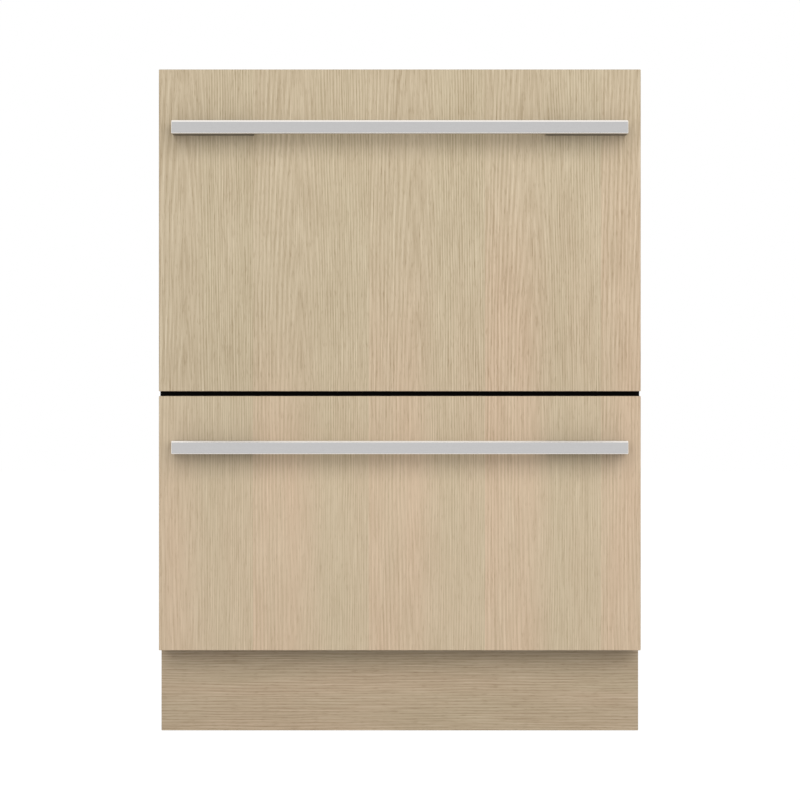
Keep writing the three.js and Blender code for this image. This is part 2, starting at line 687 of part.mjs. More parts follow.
// A square bar with two feet that reach back to the oak, and chamfered front edges.
function handle(centreZ) {
  const [back, front] = [LOCAL_PANEL[0] - SEAT, LOCAL_PANEL[0] - HANDLE_DEPTH];
  const half = HANDLE_LENGTH / 2;
  const grip = half - HANDLE_FOOT;
  const plan = [
    [-half, back],
    [-half, front + HANDLE_EDGE],
    [-half + HANDLE_EDGE, front],
    [half - HANDLE_EDGE, front],
    [half, front + HANDLE_EDGE],
    [half, back],
    [grip, back],
    [grip, front + HANDLE_BAR],
    [-grip, front + HANDLE_BAR],
    [-grip, back],
  ];
  const [z0, z1] = around(centreZ, HANDLE_HEIGHT);
  const section = [
    [back, z0],
    [back, z1],
    [front + HANDLE_EDGE, z1],
    [front, z1 - HANDLE_EDGE],
    [front, z0 + HANDLE_EDGE],
    [front + HANDLE_EDGE, z0],
  ];
  return prism(plan, "z", z0, z1).intersect(prism(section, "x", -half - OVERCUT, half + OVERCUT));
}

function doorPanel(bottom, top) {
  return block([-PANEL_WIDTH / 2, PANEL_WIDTH / 2], LOCAL_PANEL, [bottom, top]);
}

// The wash motor: a flat can with a ribbed base and a plug housing.
function washMotor() {
  const top = SUMP_BOTTOM - SEAT;
  const bottom = top - MOTOR_HEIGHT;
  const can = turned([
    [0, bottom],
    [MOTOR_BOSS, bottom],
    [MOTOR_BOSS + MOTOR_EDGE, bottom + MOTOR_STEP],
    [MOTOR_RADIUS - MOTOR_EDGE, bottom + MOTOR_STEP],
    [MOTOR_RADIUS, bottom + MOTOR_STEP + MOTOR_EDGE],
    [MOTOR_RADIUS, top - MOTOR_EDGE],
    [MOTOR_RADIUS - MOTOR_EDGE, top],
    [0, top],
  ]);
  const plugZ = [bottom + MOTOR_STEP + MOTOR_EDGE, top - MOTOR_EDGE];
  const plug = block(around(0, MOTOR_PLUG), [0, MOTOR_RADIUS + MOTOR_PLUG_REACH], plugZ);
  return can.add(plug);
}

// The strainer plate over the sump, with its collar and the spindle that carries the spray arm.
function filterPlate() {
  const [z0, z1] = [FLOOR_TOP + SEAT, FLOOR_TOP + SEAT + FILTER_THICKNESS];
  const collar = SUMP_RADIUS - TUB_WALL - PLAY;
  const plate = turned([
    [0, z0 - FILTER_COLLAR],
    [collar, z0 - FILTER_COLLAR],
    [collar, z0],
    [FILTER_RADIUS, z0],
    [FILTER_RADIUS - FILTER_THICKNESS, z1],
    [SPINDLE_RADIUS + SPINDLE_FLARE, z1],
    [SPINDLE_RADIUS, z1 + SPINDLE_FLARE],
    [SPINDLE_RADIUS, z1 + SPINDLE_HEIGHT],
    [0, z1 + SPINDLE_HEIGHT],
  ]);
  const slotX = [FILTER_SLOT_START, collar - FILTER_SLOT_MARGIN];
  const slot = block(slotX, around(0, FILTER_SLOT_WIDTH), [z0 - FILTER_COLLAR - OVERCUT, z1 + OVERCUT]);
  const slots = Array.from({ length: FILTER_SLOTS }, (_, i) =>
    slot.rotate([0, 0, (360 * (i + 0.5)) / FILTER_SLOTS]),
  );
  return cutBy(plate, ...slots);
}

// Two long blades and two short ones on a hub that turns on the filter's spindle.
function sprayArm() {
  const z0 = FLOOR_TOP + 2 * SEAT + FILTER_THICKNESS + SPINDLE_HEIGHT;
  const reach = INNER_Y - ARM_WALL_CLEARANCE;
  const bladeZ = [z0 + ARM_HUB_EDGE, z0 + ARM_HUB_EDGE + ARM_THICKNESS];
  const hub = turned([
    [0, z0],
    [ARM_HUB_RADIUS - ARM_HUB_EDGE, z0],
    [ARM_HUB_RADIUS, z0 + ARM_HUB_EDGE],
    [ARM_HUB_RADIUS, z0 + ARM_HUB_HEIGHT - ARM_HUB_EDGE],
    [ARM_HUB_CROWN, z0 + ARM_HUB_HEIGHT],
    [0, z0 + ARM_HUB_HEIGHT],
  ]);
  const blade = (tipRadius, root, tip) => {
    const end = Array.from({ length: ARM_TIP_STEPS + 1 }, (_, i) => {
      const angle = Math.PI * (i / ARM_TIP_STEPS - 0.5);
      return [tipRadius - tip / 2 + (tip / 2) * Math.cos(angle), (tip / 2) * Math.sin(angle)];
    });
    return [[0, -root / 2], ...end, [0, root / 2]];
  };
  const blades = [
    [reach, ARM_ROOT, ARM_TIP, 0],
    [ARM_CROSS_RADIUS, ARM_TIP, ARM_CROSS_TIP, 90],
    [reach, ARM_ROOT, ARM_TIP, 180],
    [ARM_CROSS_RADIUS, ARM_TIP, ARM_CROSS_TIP, 270],
  ].map(([tipRadius, root, tip, turn]) =>
    prism(blade(tipRadius, root, tip), "z", ...bladeZ).rotate([0, 0, turn]),
  );
  return joined(hub, ...blades);
}

// ---------------------------------------------------------------- rack and baskets

const RACK_FRONT = -INNER_Y + RACK_FRONT_SPACE;
const RACK_BACK = INNER_Y - RACK_BACK_SPACE;
const RACK_HALF = INNER_X - RACK_SIDE_SPACE;
const HOOP_YS = spread(RACK_HOOPS_ACROSS, RACK_FRONT + WIRE / 2, RACK_BACK - WIRE / 2);
const HOOP_XS = spread(RACK_HOOPS_ALONG, -RACK_HALF + WIRE / 2, RACK_HALF - WIRE / 2);
const WIRE_FLOOR = [RACK_BOTTOM, RACK_BOTTOM + WIRE];

function rackHoops() {
  const upright = [RACK_BOTTOM, RACK_TOP];
  const across = HOOP_YS.flatMap((y) => [
    block([-RACK_HALF, RACK_HALF], around(y, WIRE), WIRE_FLOOR),
    block([-RACK_HALF, -RACK_HALF + WIRE], around(y, WIRE), upright),
    block([RACK_HALF - WIRE, RACK_HALF], around(y, WIRE), upright),
  ]);
  const along = HOOP_XS.flatMap((x) => [
    block(around(x, WIRE), [RACK_FRONT, RACK_BACK], WIRE_FLOOR),
    block(around(x, WIRE), [RACK_FRONT, RACK_FRONT + WIRE], upright),
    block(around(x, WIRE), [RACK_BACK - WIRE, RACK_BACK], upright),
  ]);
  return [...across, ...along];
}

function rackRim() {
  const height = [RACK_TOP - RACK_RIM, RACK_TOP];
  const outer = block([-RACK_HALF, RACK_HALF], [RACK_FRONT, RACK_BACK], height);
  const inside = block(
    [-RACK_HALF + WIRE, RACK_HALF - WIRE],
    [RACK_FRONT + WIRE, RACK_BACK - WIRE],
    [height[0] - OVERCUT, height[1] + OVERCUT],
  );
  return outer.subtract(inside);
}

function dishRack() {
  const halfRow = (TINE_PITCH * (TINES_PER_ROW - 1)) / 2;
  const tineXs = spread(TINES_PER_ROW, -halfRow, halfRow);
  const tineZ = [RACK_BOTTOM + WIRE / 2, RACK_BOTTOM + WIRE + TINE_HEIGHT];
  const tines = TINE_HOOPS.flatMap((hoop) =>
    tineXs.map((x) => block(around(x, TINE), around(HOOP_YS[hoop], TINE), tineZ)),
  );
  const legs = [HOOP_XS[1], HOOP_XS[RACK_HOOPS_ALONG - 2]].flatMap((x) =>
    [RACK_FRONT + RACK_LEG_INSET, RACK_BACK - RACK_LEG_INSET].map((y) =>
      block(around(x, RACK_LEG), around(y, RACK_LEG), [FLOOR_TOP + SEAT, RACK_BOTTOM + WIRE]),
    ),
  );
  return joined(...rackHoops(), rackRim(), ...tines, ...legs);
}

// A ladder of wires on a round spine. It stands against the rack's side and folds down inwards.
// Its wires are flush with the spine's outer face, so that it leans outwards and stays up.
function cupRack(side) {
  const half = CUP_RACK_LENGTH / 2;
  const wireX = around((side * (CUP_RACK_SPINE - WIRE)) / 2, WIRE);
  const spine = rodAlongY(CUP_RACK_SPINE / 2, -half, half);
  const outer = block(wireX, [-half, half], [CUP_RACK_REACH - WIRE, CUP_RACK_REACH]);
  const wires = spread(CUP_RACK_WIRES, -half + WIRE / 2, half - WIRE / 2).map((y) =>
    block(wireX, around(y, WIRE), [0, CUP_RACK_REACH]),
  );
  return joined(spine, outer, ...wires);
}

function cutleryBasket() {
  const half = CUTLERY_WIDTH / 2;
  const outer = block([-half, half], around(0, CUTLERY_LENGTH), [0, CUTLERY_HEIGHT]);
  const cell = (CUTLERY_WIDTH - (CUTLERY_CELLS + 1) * CUTLERY_WALL) / CUTLERY_CELLS;
  const cells = Array.from({ length: CUTLERY_CELLS }, (_, i) => {
    const x0 = -half + CUTLERY_WALL + i * (cell + CUTLERY_WALL);
    return block(
      [x0, x0 + cell],
      around(0, CUTLERY_LENGTH - 2 * CUTLERY_WALL),
      [CUTLERY_WALL, CUTLERY_HEIGHT + OVERCUT],
    );
  });
  return cutBy(outer, ...cells);
}

// ---------------------------------------------------------------- dispenser

// The door parks over the left third, and the rinse-aid cap sits on the right.
const DISPENSER_FACE = -INNER_Y + SEAT + DISPENSER_DEPTH;
const DOOR_CLOSED_X = 0;

function dispenser() {
  const half = DISPENSER_WIDTH / 2;
  const z = -DISPENSER_DROP;
  const bodyY = [DISPENSER_FACE - DISPENSER_DEPTH, DISPENSER_FACE];
  const body = block([-half, half], bodyY, around(z, DISPENSER_HEIGHT));
  const cup = block(
    around(DOOR_CLOSED_X, CUP_WIDTH),
    [DISPENSER_FACE - CUP_DEPTH, DISPENSER_FACE + OVERCUT],
    around(z, CUP_HEIGHT),
  );
  const guideX = [-half, DOOR_CLOSED_X + DOOR_WIDTH / 2 + SEAT];
  const shelf = DOOR_HEIGHT / 2 + SEAT;
  const doorFront = DISPENSER_FACE + DOOR_THICKNESS + 2 * SEAT;
  const lipY = [doorFront, doorFront + DOOR_LIP];
  const guides = [-1, 1].flatMap((side) => {
    const band = (a, b) => (side > 0 ? [z + a, z + b] : [z - b, z - a]);
    return [
      block(guideX, [DISPENSER_FACE - EMBED, lipY[1]], band(shelf, shelf + DOOR_GUIDE)),
      block(guideX, lipY, band(shelf - DOOR_GUIDE / 2, shelf + DOOR_GUIDE)),
    ];
  });
  const cap = turned(
    [
      [0, -EMBED],
      [RINSE_CAP_RADIUS, -EMBED],
      [RINSE_CAP_RADIUS, RINSE_CAP_PROUD - RINSE_CAP_EDGE],
      [RINSE_CAP_RADIUS - RINSE_CAP_EDGE, RINSE_CAP_PROUD],
      [0, RINSE_CAP_PROUD],
    ],
    TURNED_SIDES,
  )
    .rotate([-90, 0, 0])
    .translate((DOOR_CLOSED_X + DOOR_WIDTH / 2 + half) / 2, DISPENSER_FACE, z);
  return joined(body, ...guides, cap).subtract(cup);
}

function detergentDoor() {
  const z = -DISPENSER_DROP;
  const [y0, y1] = [DISPENSER_FACE + SEAT, DISPENSER_FACE + SEAT + DOOR_THICKNESS];
  const plate = block(around(DOOR_CLOSED_X, DOOR_WIDTH), [y0, y1], around(z, DOOR_HEIGHT));
  const gripX = around(DOOR_CLOSED_X, DOOR_GRIP_WIDTH);
  const grip = block(gripX, [y1 - EMBED, y1 + DOOR_GRIP], around(z, DOOR_HEIGHT / 2));
  return plate.add(grip);
}

// ---------------------------------------------------------------- lid

function lid() {
  const z0 = SEAT + SEAL_THICKNESS + SEAT;
  const halfX = INNER_HALF - LID_SIDE_CLEARANCE;
  const halfY = TUB_HALF_LENGTH + RIM_WIDTH - LID_END_CLEARANCE;
  const outer = slab(halfX, halfY, TUB_CORNER, z0, z0 + LID_HEIGHT);
  const inside = slab(
    halfX - LID_SKIN,
    halfY - LID_SKIN,
    TUB_CORNER - LID_SKIN,
    z0 + LID_SKIN,
    z0 + LID_HEIGHT + OVERCUT,
  );
  const ribZ = [z0 + LID_SKIN / 2, z0 + LID_HEIGHT - LID_RIB_DROP];
  const cellY = (2 * halfY) / (LID_RIBS_ACROSS + 1);
  const cellX = (2 * halfX) / (LID_RIBS_ALONG + 1);
  const across = spread(LID_RIBS_ACROSS, cellY - halfY, halfY - cellY).map((y) =>
    block([-halfX + EMBED, halfX - EMBED], around(y, LID_SKIN), ribZ),
  );
  const along = spread(LID_RIBS_ALONG, cellX - halfX, halfX - cellX).map((x) =>
    block(around(x, LID_SKIN), [-halfY + EMBED, halfY - EMBED], ribZ),
  );
  return joined(outer.subtract(inside), ...across, ...along);
}

function lidSeal() {
  const ring = (offset, z0, z1) => slab(INNER_X + offset, INNER_Y + offset, TUB_CORNER, z0, z1);
  const z = [SEAT, SEAT + SEAL_THICKNESS];
  return ring(SEAL_INSET + SEAL_WIDTH, ...z).subtract(ring(SEAL_INSET, z[0] - OVERCUT, z[1] + OVERCUT));
}

// ---------------------------------------------------------------- assembly

const SIDES = [["left", -1], ["right", 1]];

function drawer(level, rimZ, panel, handleDrop) {
  const group = new THREE.Group();
  group.position.set(0, TUB_CENTRE_Y, rimZ);
  const add = (name, solid, material, [x, y, z] = [0, 0, 0]) => {
    const mesh = meshOf(`${level}_${name}`, solid, material);
    mesh.position.set(x, y, z);
    group.add(mesh);
  };
  const [panelBottom, panelTop] = [panel[0] - rimZ, panel[1] - rimZ];
  const frameTop = panelTop - FRAME_TOP_DROP;

  add("door_panel", doorPanel(panelBottom, panelTop), OAK);
  add("handle", handle(panelTop - handleDrop), ALUMINIUM);
  add("front_frame", frontFrame(panelBottom + FRAME_BOTTOM_LIFT, frameTop), FRAME_GREY);
  add("control_strip", controlStrip(frameTop), GLOSS_BLACK);
  add("power_button", button(-1, frameTop), BUTTON_SILVER);
  add("start_button", button(1, frameTop), BUTTON_SILVER);

  add("tub", tub(), TUB_GREY);
  add("wash_motor", washMotor(), FOOT_BLACK);
  add("filter_plate", filterPlate(), MOULDED_BLUE_GREY);
  add("spray_arm", sprayArm(), MOULDED_BLUE_GREY);
  add("dispenser", dispenser(), MOULDED_WHITE);
  add("detergent_door", detergentDoor(), MOULDED_BLUE_GREY);

  add("dish_rack", dishRack(), RACK_GREY);
  const spineX = RACK_HALF - WIRE - PLAY - CUP_RACK_SPINE / 2;
  for (const [name, side] of SIDES) {
    add(`cup_rack_${name}`, cupRack(side), RACK_GREY, [side * spineX, 0, -CUP_RACK_DROP]);
  }
  const cutleryY = RACK_BACK - WIRE - PLAY - CUTLERY_LENGTH / 2;
  add("cutlery_basket", cutleryBasket(), MOULDED_BLUE_GREY, [0, cutleryY, RACK_BOTTOM + WIRE + SEAT]);

  const railBack = LOCAL_RAIL_FRONT + RAIL_LENGTH;
  const innerFront = LOCAL_FRAME_BACK + SEAT;
  for (const [name, side] of SIDES) {
    const at = [0, 0, -RAIL_DROP];
    const member = (size, front, back) => railMember(side, RAIL_SIZES[size], front, back);
    add(`fixed_slide_${name}`, member("fixed", LOCAL_RAIL_FRONT, railBack), GALVANISED, at);
    add(`middle_slide_${name}`, member("middle", LOCAL_RAIL_FRONT, railBack), SLIDE_STEEL, at);
    add(`inner_slide_${name}`, member("inner", innerFront, innerFront + RAIL_LENGTH), SLIDE_STEEL, at);
  }

  add("lid", lid(), MOULDED_WHITE);
  add("lid_seal", lidSeal(), SEAL_RUBBER);
  return group;
}

function chassis() {
  const group = new THREE.Group();
  const add = (name, solid, material) => group.add(meshOf(name, solid, material));
  for (const [name, side] of SIDES) add(`side_panel_${name}`, sidePanel(side), GALVANISED);
  add("back_panel", backPanel(), GALVANISED);
  add("top_panel", topPanel(), GALVANISED);
  add("middle_brace", middleBrace(), BLACK_PAINT);
  add("base_tray", baseTray(), TRAY_BLACK);
  add("inlet_valve", inletValve(), MOULDED_WHITE);
  const kickX = [-PANEL_WIDTH / 2, PANEL_WIDTH / 2];
  add("toe_kick", block(kickX, [KICK_FRONT_Y, KICK_BACK_Y], [0, KICK_HEIGHT]), OAK_KICK);
  for (const [corner, [x, y]] of Object.entries(FOOT_PLACES)) {
    const foot = meshOf(`levelling_foot_${corner}`, levellingFoot(), FOOT_BLACK);
    foot.position.set(x, y, 0);
    group.add(foot);
  }
  return group;
}

const dishwasher = new THREE.Group();
dishwasher.add(
  chassis(),
  drawer("lower", LOWER_RIM, [PLINTH_HEIGHT, LOWER_PANEL_TOP], LOWER_HANDLE_DROP),
  drawer("upper", UPPER_RIM, [UPPER_PANEL_BOTTOM, UPPER_PANEL_TOP], UPPER_HANDLE_DROP),
);

export default dishwasher;
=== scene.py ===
# %% [markdown]
# # A dishwasher with two drawers behind oak fronts
#
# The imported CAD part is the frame: its plates, channels and mouldings have the right sizes and
# move on the right joints. This notebook dresses them. It gives every surface its finish, and
# makes the pieces again that are round, moulded or bent on the real appliance.
# Lengths are in metres. +Z is up, and the oak fronts look along -Y.

import math

import bmesh
import bpy
import numpy as np
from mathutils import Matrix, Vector


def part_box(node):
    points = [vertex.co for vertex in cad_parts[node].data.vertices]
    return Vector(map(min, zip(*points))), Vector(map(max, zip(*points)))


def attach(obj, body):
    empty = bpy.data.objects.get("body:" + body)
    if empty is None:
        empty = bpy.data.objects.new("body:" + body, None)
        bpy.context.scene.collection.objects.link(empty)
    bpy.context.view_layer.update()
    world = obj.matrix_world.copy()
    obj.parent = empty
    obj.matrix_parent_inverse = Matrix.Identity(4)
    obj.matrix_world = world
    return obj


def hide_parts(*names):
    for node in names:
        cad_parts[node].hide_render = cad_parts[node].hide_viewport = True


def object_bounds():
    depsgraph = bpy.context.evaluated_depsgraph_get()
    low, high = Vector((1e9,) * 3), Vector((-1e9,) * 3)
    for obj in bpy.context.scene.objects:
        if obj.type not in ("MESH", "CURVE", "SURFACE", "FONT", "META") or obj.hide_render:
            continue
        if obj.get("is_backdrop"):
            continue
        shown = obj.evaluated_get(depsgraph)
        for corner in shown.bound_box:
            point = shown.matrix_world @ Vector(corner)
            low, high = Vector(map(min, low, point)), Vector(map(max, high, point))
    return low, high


MM = 0.001

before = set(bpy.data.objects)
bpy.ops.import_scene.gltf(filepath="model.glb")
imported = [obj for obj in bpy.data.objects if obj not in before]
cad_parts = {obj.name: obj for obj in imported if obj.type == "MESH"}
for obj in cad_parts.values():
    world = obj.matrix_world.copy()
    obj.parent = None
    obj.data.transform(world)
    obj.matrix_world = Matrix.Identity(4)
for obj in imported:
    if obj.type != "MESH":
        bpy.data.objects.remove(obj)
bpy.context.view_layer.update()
LEVELS = ("lower", "upper")
SIDES = (("left", -1), ("right", 1))

# %% [markdown]
# ## Camera
#
# The photograph is a straight front view: the sides of the fronts stay upright and parallel, so
# the camera is level and faces them squarely. The kick stands 46 mm behind the fronts and shows
# about 1% smaller, which puts the camera 4.2 m away. The fronts are 596 mm wide on 482 pixels of
# the 800, which gives the lens. A lens could be guessed and the camera moved until the edges fit,
# but here both follow from two measures, so the picture stays right when a size changes.

# %% Camera
PICTURE_PIXELS = 800
FRONT_LEFT_PIXEL, FRONT_RIGHT_PIXEL = 158.85, 640.77
FRONT_TOP_PIXEL = 69.4
CAMERA_DISTANCE = 4.2
SENSOR_WIDTH = 36.0

front_low, front_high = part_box("upper_door_panel")
front_width = front_high[0] - front_low[0]
metres_per_pixel = front_width / (FRONT_RIGHT_PIXEL - FRONT_LEFT_PIXEL)
picture_width = PICTURE_PIXELS * metres_per_pixel
middle_pixel = (FRONT_LEFT_PIXEL + FRONT_RIGHT_PIXEL) / 2

camera = bpy.data.objects.new("camera", bpy.data.cameras.new("camera"))
camera.data.sensor_width = SENSOR_WIDTH
camera.data.lens = SENSOR_WIDTH * CAMERA_DISTANCE / picture_width
camera.data.clip_end = 50
camera.location = (
    (PICTURE_PIXELS / 2 - middle_pixel) * metres_per_pixel,
    front_low[1] - CAMERA_DISTANCE,
    front_high[2] - (PICTURE_PIXELS / 2 - FRONT_TOP_PIXEL) * metres_per_pixel,
)
camera.rotation_euler = (math.radians(90), 0, 0)
bpy.context.collection.objects.link(camera)
bpy.context.scene.camera = camera
bpy.context.scene.view_settings.view_transform = "Standard"
print("lens", round(camera.data.lens, 1), "mm, camera at", [round(v, 3) for v in camera.location])

# %% [markdown]
# ## Light and background
#
# The fronts are lit evenly, and all shadows are soft: below the handles and at the top of the
# kick they fade over some 30 mm. A small lamp would draw hard edges, and a bright sky alone would
# leave no shadow. So the light is a large sheet, 5 m in front, that the fronts see from the floor
# up to 41 degrees, and a weak sky fills the rest. Metal doesn't mirror the sheet. The sky is
# white to the camera, to shiny surfaces and to glass, and dim as a light.

# %% Helpers for shader nodes
def add(tree, kind, inputs=None, **settings):
    """A shader node: its settings, and its sockets filled with a number, a colour or a link."""
    made = tree.nodes.new(kind)
    for key, value in settings.items():
        setattr(made, key, value)
    for key, value in (inputs or {}).items():
        if isinstance(value, bpy.types.NodeSocket):
            tree.links.new(value, made.inputs[key])
        else:
            made.inputs[key].default_value = value
    return made


def calc(tree, operation, *values, clamp=False):
    """One Math node: operation(values)."""
    made = add(tree, "ShaderNodeMath", dict(enumerate(values)), operation=operation)
    made.use_clamp = clamp
    return made.outputs[0]


def seen(tree):
    """1 where the camera, a shiny surface or glass sees the thing, and 0 for the light that it gives."""
    path = add(tree, "ShaderNodeLightPath")
    either = calc(tree, "MAXIMUM", path.outputs["Is Camera Ray"], path.outputs["Is Glossy Ray"])
    return calc(tree, "MAXIMUM", either, path.outputs["Is Transmission Ray"])


def aim(thing, target):
    """Turns a lamp or camera so that its -Z points at the target."""
    direction = Vector(target) - thing.location
    thing.rotation_euler = direction.to_track_quat("-Z", "Y").to_euler()


print("helpers for shader nodes ready")

# %% Light and sky
KEY_SIZE = (6.6, 5.4)
KEY_PLACE = (0.4, -5.3, 2.4)
KEY_WATTS = 282.0
SKY_STRENGTH = 0.26

key = bpy.data.objects.new("key_light", bpy.data.lights.new("key_light", "AREA"))
key.data.shape = "RECTANGLE"
key.data.size, key.data.size_y = KEY_SIZE
key.data.energy = KEY_WATTS
key.location = KEY_PLACE
key.visible_glossy = False
aim(key, (0, front_low[1], KEY_PLACE[2]))
bpy.context.collection.objects.link(key)

world = bpy.data.worlds.new("white_room")
bpy.context.scene.world = world
world.use_nodes = True
sky = world.node_tree
strength = add(sky, "ShaderNodeMapRange", {"Value": seen(sky), "To Min": SKY_STRENGTH, "To Max": 1.0})
sky.nodes["Background"].inputs["Color"].default_value = (1, 1, 1, 1)
sky.links.new(strength.outputs[0], sky.nodes["Background"].inputs["Strength"])
print("light", KEY_SIZE, "m,", KEY_WATTS, "W, sky", SKY_STRENGTH)

# %% [markdown]
# ## Floor
#
# The dishwasher stands on white. A matt white sheet would render grey under so little light, and
# a sheet that only glows would lose the shadow. So the floor is matt, gives back a little light
# as a real floor does, and glows only where it is looked at. The glow is mixed in by a share
# below 1, and the matt rest keeps the shadow.

# %% Floor
FLOOR_SIZE = 30.0
FLOOR_GLOW, FLOOR_GLOW_STRENGTH = 0.74, 1.25
FLOOR_SHADE, FLOOR_FILL = 0.4, 0.3


def link_mesh(name, vertices, faces):
    """A mesh object at the origin from arrays of vertices and faces."""
    mesh = bpy.data.meshes.new(name)
    mesh.from_pydata(np.asarray(vertices, float).tolist(), [], [list(face) for face in faces])
    mesh.update()
    made = bpy.data.objects.new(name, mesh)
    bpy.context.collection.objects.link(made)
    return made


def white_floor():
    """Matt grey and a weak glow, mixed with a bright glow where it is seen."""
    material = bpy.data.materials.new("white_floor")
    material.use_nodes = True
    tree = material.node_tree
    tree.nodes.clear()
    share = calc(tree, "MULTIPLY", seen(tree), FLOOR_GLOW)
    matt = add(tree, "ShaderNodeBsdfDiffuse", {"Color": (FLOOR_SHADE, FLOOR_SHADE, FLOOR_SHADE, 1)})
    fill = add(tree, "ShaderNodeEmission", {"Strength": FLOOR_FILL})
    lit = add(tree, "ShaderNodeAddShader", {0: matt.outputs[0], 1: fill.outputs[0]})
    glow = add(tree, "ShaderNodeEmission", {"Strength": FLOOR_GLOW_STRENGTH})
    both = add(tree, "ShaderNodeMixShader", {0: share, 1: lit.outputs[0], 2: glow.outputs[0]})
    add(tree, "ShaderNodeOutputMaterial", {"Surface": both.outputs[0]})
    return material


half_floor = FLOOR_SIZE / 2
floor_corners = [(half_floor * x, half_floor * y, 0) for x, y in ((-1, -1), (1, -1), (1, 1), (-1, 1))]
floor = link_mesh("floor", floor_corners, [(0, 1, 2, 3)])
floor.data.materials.append(white_floor())
floor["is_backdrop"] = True
print("floor", FLOOR_SIZE, "m square")

# %% [markdown]
# ## Pale oak veneer
#
# A log is sliced into thin leaves, and the leaves are laid side by side without turning them
# over. Each leaf therefore repeats the same figure: a tall narrow flame in its middle and
# straight grain at its edges. A photograph of oak could be laid on the boards, but it would
# repeat, end at the edges and fix the scale. Here the figure is worked out from how it grows. A
# slice cuts the log's growth rings beside their centre, at a depth that changes slowly along the
# trunk. With x across the leaf and d(z) that depth, a point lies at the radius sqrt(x^2 + d(z)^2)
# in the log, so rings drawn along that radius show as flames.

# %% Oak: measures and colours
LEAF_WIDTH = 143.5 * MM
LEAF_START = -38 * MM - 4 * LEAF_WIDTH
FLAME_PLACE = 0.42
FLAME_DEPTH = 13 * MM
FLAME_SLOPE = 0.05
FLAME_HEIGHT = 581 * MM
FLAME_LEAN = 0.2
QUIET_WITHIN = (2 * MM, 30 * MM)
QUIET_SHARE = 0.5
RING_SPACING = 3.6 * MM
RING_WOBBLE = 1.6
LINE_SPACING = 2.5 * MM
LINE_WIDTH = 0.11
SWAY, QUICK_SWAY = 2.5 * MM, 1.6 * MM
FAINT_BETWEEN = (340 * MM, 450 * MM)
FAINT_SHARE = 0.72
# Painted light: how much paler the lower front is lifted.
PAINTED_LIGHT_LIFT = 0.18
PINK_FROM, PINK_RISE = 170 * MM, 90 * MM
PINK_FADE = (-140 * MM, 160 * MM)
PINK_SHARE, LEAST_PINK, GREY_SHARE, PLAIN_SHARE = 0.6, 0.35, 0.35, 0.45
CONTRAST = {"ring": 0.14, "line": 0.08, "fibre": 0.92, "broad": 0.16, "pore": 0.25}
OAK_DARK = (168, 149, 120)
OAK_MIDDLE = (198, 181, 153)
OAK_LIGHT = (221, 206, 179)
OAK_PINK = (209, 180, 153)
OAK_GREY = (194, 180, 150)
# The kick's oak is darkened by this share: painted shade for the shade under the fronts.
KICK_PAINTED_SHADE = 0.8
print("oak leaves", round(LEAF_WIDTH / MM, 1), "mm wide, rings", round(RING_SPACING / MM, 1), "mm apart")

# %% [markdown]
# Colours are written as the numbers from 0 to 255 that a picture shows. A shader works with
# linear light, so they are converted once, here. All patterns start from the point's own place on
# the object, in metres, so they neither stretch nor slide when a piece moves or changes size.

# %% Helpers for colours and places
def srgb(colour, shade=1.0):
    """A colour of 0 to 255 as the linear numbers that a shader works with."""
    share = np.array(colour) / 255
    linear = np.where(share <= 0.04045, share / 12.92, ((share + 0.055) / 1.055) ** 2.4)
    return (*(float(v) for v in linear * shade), 1.0)


def new_finish(name):
    """An empty material with its shader: (material, node tree, Principled BSDF)."""
    material = bpy.data.materials.new(name)
    material.use_nodes = True
    return material, material.node_tree, material.node_tree.nodes["Principled BSDF"]


def place(tree):
    """The point on the object as three numbers, in metres."""
    coordinates = add(tree, "ShaderNodeTexCoord")
    parts = add(tree, "ShaderNodeSeparateXYZ", {0: coordinates.outputs["Object"]})
    return {axis: parts.outputs[axis] for axis in "XYZ"}


def whole_place(tree):
    """The point on the object as one vector, in metres."""
    return add(tree, "ShaderNodeTexCoord").outputs["Object"]


def vector(tree, *parts):
    """Three numbers as one vector."""
    return add(tree, "ShaderNodeCombineXYZ", dict(enumerate(parts))).outputs[0]


print("the middle oak is", [round(v, 3) for v in srgb(OAK_MIDDLE)[:3]], "in linear numbers")

# %% Helpers for patterns
def noise(tree, point, scale=1.0, detail=2.0, roughness=0.5):
    """Smooth noise from 0 to 1, about 0.5."""
    settings = {"Vector": point, "Scale": scale, "Detail": detail, "Roughness": roughness}
    return add(tree, "ShaderNodeTexNoise", settings).outputs["Fac"]


def grain(tree, across, along, fineness, seed, detail=0.0, roughness=0.5):
    """Noise stretched along the grain. fineness is how many cells fit in a metre, across and along."""
    scaled = [calc(tree, "MULTIPLY", part, cells) for part, cells in zip((across, along), fineness)]
    return noise(tree, vector(tree, *scaled, seed), 1.0, detail, roughness)


def blend_colours(tree, share, first, second, mode="MIX"):
    """A mix of two colours."""
    made = tree.nodes.new("ShaderNodeMix")
    made.data_type, made.blend_type = "RGBA", mode
    for index, value in ((0, share), (6, first), (7, second)):
        if isinstance(value, bpy.types.NodeSocket):
            tree.links.new(value, made.inputs[index])
        else:
            made.inputs[index].default_value = value
    return made.outputs[2]


def remap(tree, value, low, high, new_low=0.0, new_high=1.0, smooth=False):
    """value from low..high to new_low..new_high, held at the ends."""
    settings = {"Value": value, "From Min": low, "From Max": high, "To Min": new_low, "To Max": new_high}
    kind = "SMOOTHSTEP" if smooth else "LINEAR"
    return add(tree, "ShaderNodeMapRange", settings, interpolation_type=kind).outputs[0]


def bumped(tree, shader, height, strength, distance):
    """Tilts the shader's normal by a height."""
    bump = add(tree, "ShaderNodeBump", {"Height": height, "Strength": strength, "Distance": distance})
    tree.links.new(bump.outputs[0], shader.inputs["Normal"])


print("helpers for patterns ready")

# %% [markdown]
# The grain is not quite straight, so everything is first shifted a little to and fro. Then each
# point gets a depth in the log. Within a flame the rings are quieter than beside it.

